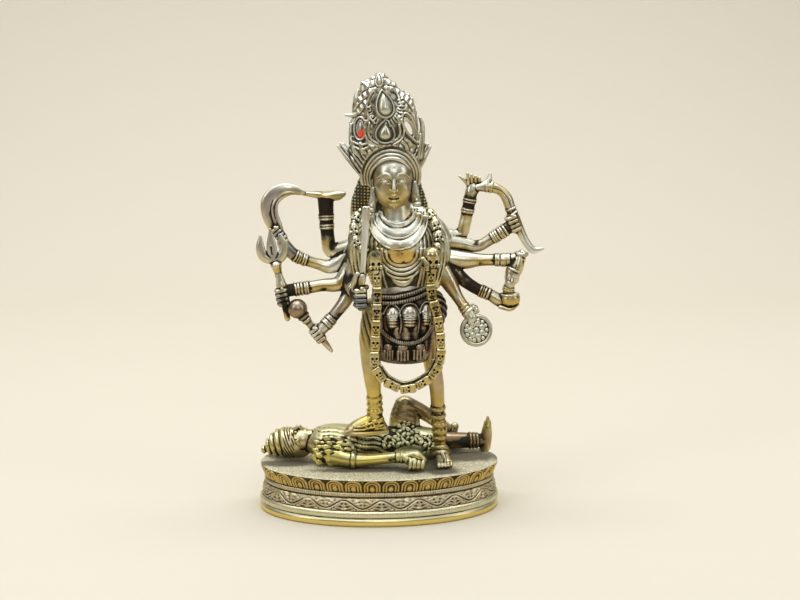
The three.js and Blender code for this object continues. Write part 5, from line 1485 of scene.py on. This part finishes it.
def makePatina():
    tree, inner, outer = group(
        "castPatina",
        [("Gold", "NodeSocketColor", (0.5, 0.4, 0.2, 1)), ("Pale", "NodeSocketColor", (0.7, 0.7, 0.6, 1)),
         ("Dark", "NodeSocketColor", (0, 0, 0, 1)), ("Pale Share", "NodeSocketFloat", 0.6),
         ("Dark Share", "NodeSocketFloat", 0.9), ("Dark From", "NodeSocketFloat", 0.5),
         ("Rough", "NodeSocketFloat", 0.3)],
        [("Color", "NodeSocketColor"), ("Roughness", "NodeSocketFloat"), ("Metallic", "NodeSocketFloat"),
         ("Height", "NodeSocketFloat")],
    )
    given = inner.outputs
    relief = add(tree, "ShaderNodeAttribute", {"attribute_name": "relief"}).outputs["Fac"]
    place = add(tree, "ShaderNodeTexCoord").outputs["Object"]
    broad = noise(tree, place, 75.0, 2.0)
    fine = noise(tree, place, 420.0, 4.0, Roughness=0.6)
    drift = noise(tree, place, 26.0, 3.0, Distortion=0.6)
    facing = add(tree, "ShaderNodeSeparateXYZ", None,
                 {0: add(tree, "ShaderNodeNewGeometry").outputs["Normal"]}).outputs["Z"]
    # Dark patina lies in the hollows and in drifting patches; the extra dark on what faces down, and a little
    # less on what faces up, is painted shade
    jitter = times(tree, times(tree, broad, 0.5, "SUBTRACT"), 0.36)
    depth = times(tree, times(tree, relief, jitter, "ADD"), times(tree, facing, 0.045), "ADD")
    low = times(tree, given["Dark From"], 0.16, "SUBTRACT")
    dark = add(tree, "ShaderNodeMapRange", {"interpolation_type": "SMOOTHSTEP", "To Min": 1.0, "To Max": 0.0},
               {"Value": depth, "From Min": low, "From Max": given["Dark From"]}).outputs["Result"]
    paintedUnderShade = span(tree, times(tree, facing, times(tree, drift, 0.5, "SUBTRACT"), "SUBTRACT"), -0.5, -0.95)
    dark = times(tree, dark, times(tree, paintedUnderShade, 0.7), "MAXIMUM")
    dark = times(tree, dark, given["Dark Share"])
    # Pale painted highlight on what faces up, broken up by noise, with pale wear on proud places; golden
    # brass below
    mottling = noise(tree, place, 140.0, 2.0)
    highlightBreakup = times(tree, times(tree, drift, 1.6), times(tree, mottling, 1.6), "ADD")
    # up: a painted highlight, pale on what faces up
    up = span(tree, times(tree, facing, times(tree, highlightBreakup, 1.6, "SUBTRACT"), "ADD"), -0.15, 0.6)
    proud = span(tree, depth, 0.56, 0.72)
    pale = times(tree, times(tree, up, times(tree, proud, 0.45), "ADD"), given["Pale Share"])
    pale = add(tree, "ShaderNodeClamp", None, {0: pale}).outputs[0]
    brown = blend(tree, span(tree, drift, 0.48, 0.66), given["Gold"], (0.22, 0.15, 0.09, 1))
    metal = blend(tree, pale, blend(tree, 0.55, given["Gold"], brown), given["Pale"])
    colour = blend(tree, dark, metal, given["Dark"])
    grain = times(tree, times(tree, fine, 0.5, "SUBTRACT"), 0.1)
    rough = times(tree, times(tree, given["Rough"], times(tree, dark, 0.34), "ADD"), grain, "ADD")
    metallic = times(tree, 1.0, times(tree, dark, 0.3), "SUBTRACT")
    height = times(tree, times(tree, fine, 0.5), times(tree, broad, 0.5), "ADD")
    for title, source in (("Color", colour), ("Roughness", rough), ("Metallic", metallic),
                          ("Height", height)):
        tree.links.new(source, outer.inputs[title])
    return tree


patina = makePatina()


def makeTintSpot():
    # Tints the metal, but not the dark patina and painted shade, inside an egg-shaped place with a ragged
    # edge
    tree, inner, outer = group(
        "tintSpot",
        [("Color", "NodeSocketColor", (0.5, 0.4, 0.2, 1)), ("Tint", "NodeSocketColor", (0.5, 0.4, 0.2, 1)),
         ("Share", "NodeSocketFloat", 0.6), ("Centre", "NodeSocketVector", (0, 0, 0)),
         ("Radii", "NodeSocketVector", (0.01, 0.01, 0.01))],
        [("Color", "NodeSocketColor")],
    )
    given = inner.outputs
    place = add(tree, "ShaderNodeTexCoord").outputs["Object"]
    off = add(tree, "ShaderNodeVectorMath", {"operation": "SUBTRACT"},
              {0: place, 1: given["Centre"]}).outputs[0]
    off = add(tree, "ShaderNodeVectorMath", {"operation": "DIVIDE"}, {0: off, 1: given["Radii"]}).outputs[0]
    distance = add(tree, "ShaderNodeVectorMath", {"operation": "LENGTH"}, {0: off}).outputs["Value"]
    ragged = noise(tree, place, 160.0, 3.0)
    distance = times(tree, distance, times(tree, times(tree, ragged, 0.5, "SUBTRACT"), 0.5), "ADD")
    inside = span(tree, distance, 1.15, 0.55)
    metal = span(tree, add(tree, "ShaderNodeSeparateColor", None, {0: given["Color"]}).outputs[0], 0.03, 0.3)
    share = times(tree, times(tree, inside, metal), given["Share"])
    tree.links.new(blend(tree, share, given["Color"], given["Tint"]), outer.inputs["Color"])
    return tree


tintSpot = makeTintSpot()

# Places where the brass takes another colour, mostly its own tone, some a painted highlight: centre and radii
# in shares above the deck, colour and strength
tints = {
    "crown": [((3.4, -8, 69.5), (5, 4, 5), (0.54, 0.41, 0.12), 0.75),
              # Pale forehead: a painted highlight
              ((3.4, -8, 77.4), (4.4, 4, 2.6), (0.80, 0.79, 0.68), 0.75),
              ((3.4, -6, 92), (7, 6, 8), (0.66, 0.66, 0.55), 0.35)],
    "shawl": [((5.7, -8, 54.8), (4.2, 3, 2.6), (0.62, 0.42, 0.12), 0.85),
              ((5.6, -8, 49.4), (3, 3, 1.8), (0.58, 0.48, 0.22), 0.6),
              # Pale chest under the neck: a painted highlight
              ((5, -8, 62), (8, 5, 4.5), (0.76, 0.78, 0.71), 0.6),
              ((-4, -4, 58), (4, 5, 8), (0.58, 0.54, 0.30), 0.5)],
    "aged": [((-3.9, -11.2, 59), (1.6, 1.4, 11), (0.92, 0.92, 0.86), 0.9),
             ((-4.8, -10.6, 44), (3.2, 3.4, 3.2), (0.10, 0.11, 0.14), 0.85),
             ((18, -3.6, 47), (2.4, 3, 3.4), (0.56, 0.38, 0.17), 0.8),
             ((21, -5, 42), (2.4, 3, 3.4), (0.60, 0.44, 0.22), 0.75),
             ((22, -2, 51), (7, 3, 1.5), (0.56, 0.42, 0.14), 0.7),
             ((33.4, -4, 42.6), (3.2, 3.4, 2.4), (0.58, 0.38, 0.06), 0.92),
             ((-26.4, -1.9, 67), (3, 2, 6), (0.62, 0.55, 0.52), 0.75),
             ((-23, -1.2, 56), (3.2, 3, 2.8), (0.14, 0.15, 0.20), 0.75),
             ((-25, -2, 60), (2, 2.4, 2), (0.38, 0.43, 0.50), 0.7),
             ((-24.3, -4, 44.2), (3.2, 3, 3), (0.13, 0.13, 0.15), 0.85),
             ((-16, -2, 46.6), (6, 3, 1.6), (0.46, 0.36, 0.16), 0.5),
             ((-20.7, -5, 41.4), (3.6, 3.6, 3.6), (0.24, 0.15, 0.10), 0.85),
             ((-14, 0, 69.4), (7, 3, 1.4), (0.60, 0.46, 0.16), 0.7),
             ((-27, -4.4, 57), (4, 2, 4.6), (0.70, 0.74, 0.76), 0.5),
             ((-11, -3.4, 40.4), (3.4, 3, 4), (0.36, 0.28, 0.21), 0.6),
             ((-14.6, -5, 33.4), (3, 3, 2.4), (0.50, 0.36, 0.20), 0.6),
             ((-9.6, -1, 52), (4, 4, 4.6), (0.84, 0.86, 0.80), 0.6),
             ((30, -1, 70.4), (4.4, 2.4, 2.6), (0.62, 0.50, 0.20), 0.75),
             ((38.4, -1.2, 57), (4.4, 2.4, 4), (0.82, 0.84, 0.80), 0.7),
             ((34.3, -1.8, 62.4), (2.4, 3, 2.4), (0.40, 0.31, 0.15), 0.75),
             ((24, -7.4, 36.4), (4.8, 2.6, 5.6), (0.60, 0.61, 0.50), 0.8),
             ((33.6, -5, 49.4), (2, 2, 3), (0.74, 0.74, 0.68), 0.6)],
    "skirt": [((x, -9.6, z), (2.1, 2.8, 1.9), colour, share) for x in (3.1, 7.4, 11.6)
              for z, colour, share in ((40.6, (0.80, 0.81, 0.72), 0.75), (37.6, (0.66, 0.50, 0.27), 0.7),
                                       (31.2, (0.40, 0.25, 0.14), 0.5))],
    "garland": [((-5.8, -5, 61), (3, 5, 8), (0.74, 0.74, 0.58), 0.7),
                ((13.8, -5, 61), (3, 5, 8), (0.72, 0.71, 0.52), 0.6),
                ((-1.2, -10, 53), (2.2, 3, 5), (0.62, 0.58, 0.36), 0.6),
                ((-1.8, -10, 44), (2, 3, 4), (0.62, 0.60, 0.44), 0.5)],
    "golden": [((-3.6, -4, 40), (3.4, 6, 6), (0.34, 0.29, 0.14), 0.7),
               ((15, -3, 26), (3, 5, 9), (0.42, 0.31, 0.24), 0.75),
               ((-1.8, -6, 14), (4, 6, 7), (0.70, 0.54, 0.13), 0.75),
               ((15.4, -8, 2.5), (3.4, 5, 2.6), (0.62, 0.60, 0.44), 0.7)],
    "lying": [((-20.6, -9.3, 4.9), (11.3, 7.2, 7.2), (0.62, 0.55, 0.14), 0.6),
              ((-34, 1, 9.5), (8.2, 10.3, 10.3), (0.62, 0.50, 0.30), 0.5),
              ((13.4, -2, 8.5), (16.5, 15.5, 9.3), (0.80, 0.84, 0.56), 0.8),
              ((-6.2, -3, 8.5), (10.3, 10.3, 7.2), (0.58, 0.60, 0.36), 0.5),
              ((38, 9.3, 5.4), (14.4, 10.3, 7.2), (0.22, 0.14, 0.09), 0.85),
              ((15, 7, 20), (13, 13, 7.6), (0.25, 0.17, 0.09), 0.85),
              ((-2.6, -13.4, 2.8), (10.3, 4.1, 4.1), (0.74, 0.62, 0.16), 0.6)],
}


def tint(tree, colour, spots, unit, only=None):
    for centre, radii, tone, share in spots:
        place = Vector(centre) * unit + Vector((0, 0, deck))
        made = add(tree, "ShaderNodeGroup", {"node_tree": tintSpot})
        for title, value in (("Tint", (*tone, 1)), ("Share", share), ("Centre", place),
                             ("Radii", Vector(radii) * unit)):
            made.inputs[title].default_value = value
        if only:
            tree.links.new(times(tree, only, share), made.inputs["Share"])
        tree.links.new(colour, made.inputs["Color"])
        colour = made.outputs["Color"]
    return colour


def brass(name, bump=0.06, change=None):
    finish = finishes[name]
    material = bpy.data.materials.new(name + "Brass")
    material.use_nodes = True
    tree = material.node_tree
    shader = tree.nodes["Principled BSDF"]
    made = add(tree, "ShaderNodeGroup", {"node_tree": patina})
    for title, key in (("Gold", "gold"), ("Pale", "pale"), ("Dark", "dark")):
        made.inputs[title].default_value = (*finish[key], 1)
    for title, key in (("Pale Share", "paleShare"), ("Dark Share", "darkShare"), ("Dark From", "darkFrom"),
                       ("Rough", "rough")):
        made.inputs[title].default_value = finish[key]
    look = {title: made.outputs[title] for title in ("Color", "Roughness", "Metallic")}
    look["Color"] = tint(tree, look["Color"], tints.get(name, []),
                         lyingShare if name == "lying" else figureShare)
    if change:
        change(tree, look)
    for title, target in (("Color", "Base Color"), ("Roughness", "Roughness"), ("Metallic", "Metallic")):
        tree.links.new(look[title], shader.inputs[target])
    bumped = add(tree, "ShaderNodeBump", {"Strength": bump, "Distance": 0.0008},
                 {"Height": made.outputs["Height"]})
    tree.links.new(bumped.outputs["Normal"], shader.inputs["Normal"])
    return material


def vermilion(tree, look):
    # A dab of vermilion on the crown's left medallion
    place = add(tree, "ShaderNodeTexCoord").outputs["Object"]
    centre = Vector((-4.6 * figureShare, -7.6 * figureShare, deck + 85.4 * figureShare))
    distance = add(tree, "ShaderNodeVectorMath", {"operation": "DISTANCE", 1: centre},
                   {0: place}).outputs["Value"]
    dab = add(tree, "ShaderNodeMapRange", {"From Min": 0.0042, "From Max": 0.0028},
              {"Value": distance}).outputs["Result"]
    look["Color"] = blend(tree, dab, look["Color"], (0.82, 0.11, 0.05, 1))
    look["Metallic"] = times(tree, look["Metallic"], dab, "SUBTRACT")


def plinthZones(tree, look):
    # Polished golden foot, worn bands, golden petals and a dull stippled top, with painted shadow on the deck
    # under the figures
    place = add(tree, "ShaderNodeTexCoord").outputs["Object"]
    height = add(tree, "ShaderNodeSeparateXYZ", None, {0: place}).outputs["Z"]
    fine = noise(tree, place, 820.0, 3.0, Roughness=0.75)
    bright = add(tree, "ShaderNodeSeparateColor", None, {0: look["Color"]}).outputs[0]
    for low, high, colour, share in plinthColours:
        band = times(tree, span(tree, height, low - 0.0004, low + 0.0002),
                     span(tree, height, high + 0.0002, high - 0.0004))
        clean = times(tree, times(tree, span(tree, bright, 0.05, 0.3), share), band)
        look["Color"] = blend(tree, clean, look["Color"], (*colour, 1))
    top = span(tree, height, deck - 0.0007, deck - 0.0003)
    speck = blend(tree, span(tree, fine, 0.4, 0.62), (0.40, 0.37, 0.25, 1), (0.97, 0.94, 0.73, 1))
    look["Color"] = blend(tree, times(tree, top, 0.85), look["Color"], speck)
    # Painted shadow on the deck under the figures
    look["Color"] = tint(tree, look["Color"], deckPaintedShadows, lyingShare, top)
    look["Roughness"] = times(tree, look["Roughness"], times(tree, top, 0.28), "ADD")
    look["Metallic"] = times(tree, look["Metallic"], times(tree, top, 0.6), "SUBTRACT")


# Painted shadows on the deck, where the figures lie and stand, in the lying figure's shares
deckPaintedShadows = [(centre, radii, (0.055, 0.04, 0.025), 0.8) for centre, radii in (
    ((37, 2, 0), (21.6, 8.2, 5)), ((19.6, -9.3, 0), (7.2, 9.3, 5)), ((-40, -4, 0), (15.5, 5.7, 5)),
    ((-6.2, -14.4, 0), (25.8, 4.1, 5)), ((25.8, -17.5, 0), (9.3, 6.2, 5)), ((12.4, -17.5, 0), (6.2, 4.1, 5)))]

# Bands of the plinth: low and high edge in metres, colour, and how strong it is
plinthColours = [
    (0.0, 0.0052, (0.82, 0.66, 0.22), 0.95), (0.0054, 0.0125, (0.74, 0.73, 0.52), 0.75),
    (0.013, 0.0232, (0.56, 0.50, 0.36), 0.55), (0.0238, 0.0278, (0.62, 0.56, 0.40), 0.5),
    (0.028, 0.0386, (0.57, 0.40, 0.10), 0.7), (0.0387, 0.041, (0.74, 0.70, 0.46), 0.85),
]

materials = {
    "aged": brass("aged", 0.02),
    "crown": brass("crown", 0.03, vermilion),
    "shawl": brass("shawl"),
    "skirt": brass("skirt"),
    "golden": brass("golden", 0.012),
    "garland": brass("garland", 0.04),
    "lying": brass("lying"),
    "plinth": brass("plinth", 0.12, plinthZones),
}
print("finishes made")


# Floor, lights and camera

stage = {
    "near": -2.5,  # where the floor starts, in metres
    "bend": 0.9,  # where it turns up into the backdrop
    "radius": 0.6,
    "height": 3.5,
    "halfWide": 3.5,
    "colour": (0.685, 0.641, 0.545, 1),
}


def makeStage():
    bend, radius = stage["bend"], stage["radius"]
    turns = np.linspace(0.1, math.pi / 2, 12)
    rows = [(stage["near"], 0), (bend, 0)]
    rows += [(bend + radius * math.sin(t), radius - radius * math.cos(t)) for t in turns]
    rows.append((bend + radius, stage["height"]))
    points = [(x, y, z) for y, z in rows for x in (-stage["halfWide"], stage["halfWide"])]
    faces = [(2 * i, 2 * i + 1, 2 * i + 3, 2 * i + 2) for i in range(len(rows) - 1)]
    mesh = bpy.data.meshes.new("floor")
    mesh.from_pydata(points, [], faces)
    floor = bpy.data.objects.new("floor", mesh)
    bpy.context.scene.collection.objects.link(floor)
    material = bpy.data.materials.new("paleFloor")
    material.use_nodes = True
    shader = material.node_tree.nodes["Principled BSDF"]
    for title, value in (("Base Color", stage["colour"]), ("Roughness", 0.9), ("Specular IOR Level", 0.1)):
        shader.inputs[title].default_value = value
    mesh.materials.append(material)
    for polygon in mesh.polygons:
        polygon.use_smooth = True


def light(name, place, target, size, power, colour):
    lamp = bpy.data.lights.new(name, "AREA")
    lamp.shape = "RECTANGLE"
    lamp.size, lamp.size_y = size
    lamp.energy = power
    lamp.color = colour
    made = bpy.data.objects.new(name, lamp)
    made.location = place
    made.rotation_euler = (Vector(target) - Vector(place)).to_track_quat("-Z", "Y").to_euler()
    bpy.context.scene.collection.objects.link(made)


view = {"target": (0.0173, 0, 0.1754), "distance": 1.1, "rise": 11, "turn": -2.7, "lens": 60.2, "sensor": 36}


def makeCamera():
    target, distance = Vector(view["target"]), view["distance"]
    rise, turn = math.radians(view["rise"]), math.radians(view["turn"])
    back = Vector((math.sin(turn) * math.cos(rise), -math.cos(turn) * math.cos(rise), math.sin(rise)))
    lens = bpy.data.cameras.new("camera")
    lens.lens, lens.sensor_width = view["lens"], view["sensor"]
    camera = bpy.data.objects.new("camera", lens)
    camera.location = target + distance * back
    camera.rotation_euler = (-back).to_track_quat("-Z", "Y").to_euler()
    bpy.context.scene.collection.objects.link(camera)
    bpy.context.scene.camera = camera


lightSettings = {
    # place, target, size, power, colour
    "top": ((-0.15, -0.35, 1.3), (0, 0, 0.2), (0.9, 0.5), 3.0, (1, 1, 1)),
    "left": ((-1.0, -0.7, 0.75), (0, 0, 0.18), (0.3, 0.7), 2.2, (1, 0.99, 0.96)),
    "right": ((1.05, -0.55, 0.6), (0, 0, 0.18), (0.25, 0.7), 1.6, (1, 0.96, 0.88)),
    "front": ((0.1, -1.3, 0.85), (0, 0, 0.25), (0.5, 0.4), 2.1, (1, 1, 0.98)),
    "backdrop": ((0, 0.25, 2.2), (0, 1.3, 0.5), (3.0, 0.8), 38, (1, 1, 1)),
}


def makeWorld():
    # Bright above, dim at eye level, so that the brass shows dark between its highlights
    world = bpy.data.worlds.new("studio")
    bpy.context.scene.world = world
    world.use_nodes = True
    tree = world.node_tree
    up = add(tree, "ShaderNodeSeparateXYZ", None,
             {0: add(tree, "ShaderNodeTexCoord").outputs["Generated"]}).outputs["Z"]
    high = span(tree, up, 0.3, 0.85)
    background = tree.nodes["Background"]
    seen = add(tree, "ShaderNodeLightPath").outputs["Is Camera Ray"]
    lit = blend(tree, high, (0.10, 0.085, 0.07, 1), (0.85, 0.85, 0.84, 1))
    tree.links.new(blend(tree, seen, lit, (0.80, 0.74, 0.62, 1)), background.inputs["Color"])
    background.inputs["Strength"].default_value = 1.0
    bpy.context.scene.view_settings.view_transform = "Standard"


clayPieces = [
    # name, models, low corner, high corner, grain, finish, node, slot, most triangles
    ("crownAndHead", [modelCrown, modelHead], (-12, -12.5, 64), (15, 3.4, 101.4), 0.125, "crown",
     "standing_figure", "aged_brass", 175000),
    ("bodyAndShawl", [modelBody], (-14, -12.5, 43), (24, 7, 80), 0.15, "shawl", "standing_figure",
     "aged_brass", 105000),
    ("skirtAndBelt", [modelSkirt], (-5, -12.5, 26), (19, 6, 49), 0.13, "skirt", "standing_figure",
     "dark_brass", 80000),
    ("legsAndFeet", [modelLegs], (-12, -12.5, 0), (20, 4, 44), 0.15, "golden", "standing_figure",
     "aged_brass", 55000),
    ("skullGarland", [modelGarland], (-9, -13.5, 19), (18, 0, 68), 0.125, "garland", "standing_figure",
     "aged_brass", 108000),
    ("leftArms", [modelLeftArms], (-32, -13.4, 29), (-1, 4, 77), 0.14, "aged", "standing_figure",
     "aged_brass", 86000),
    ("rightArms", [modelRightArms], (12, -12, 30), (43.4, 5, 78), 0.14, "aged", "standing_figure",
     "aged_brass", 86000),
    ("lyingFigure", [modelLying], (-53, -21, -0.4), (51, 20, 28), 0.24, "lying", "reclining_figure",
     "dark_brass", 100000),
]


# Building

for name, models, low, high, grain, finish, node, slotName, most in clayPieces:
    clay = Clay(low, high, grain)
    for model in models:
        model(clay)
    cast(clay, name, node, materials[finish], lyingShare if finish == "lying" else figureShare,
         most)

settle(modelPlinth(), "plinth", materials["plinth"], figureShare)

makeStage()
for name, settings in lightSettings.items():
    light(name, *settings)
makeWorld()
makeCamera()
print("stage set")
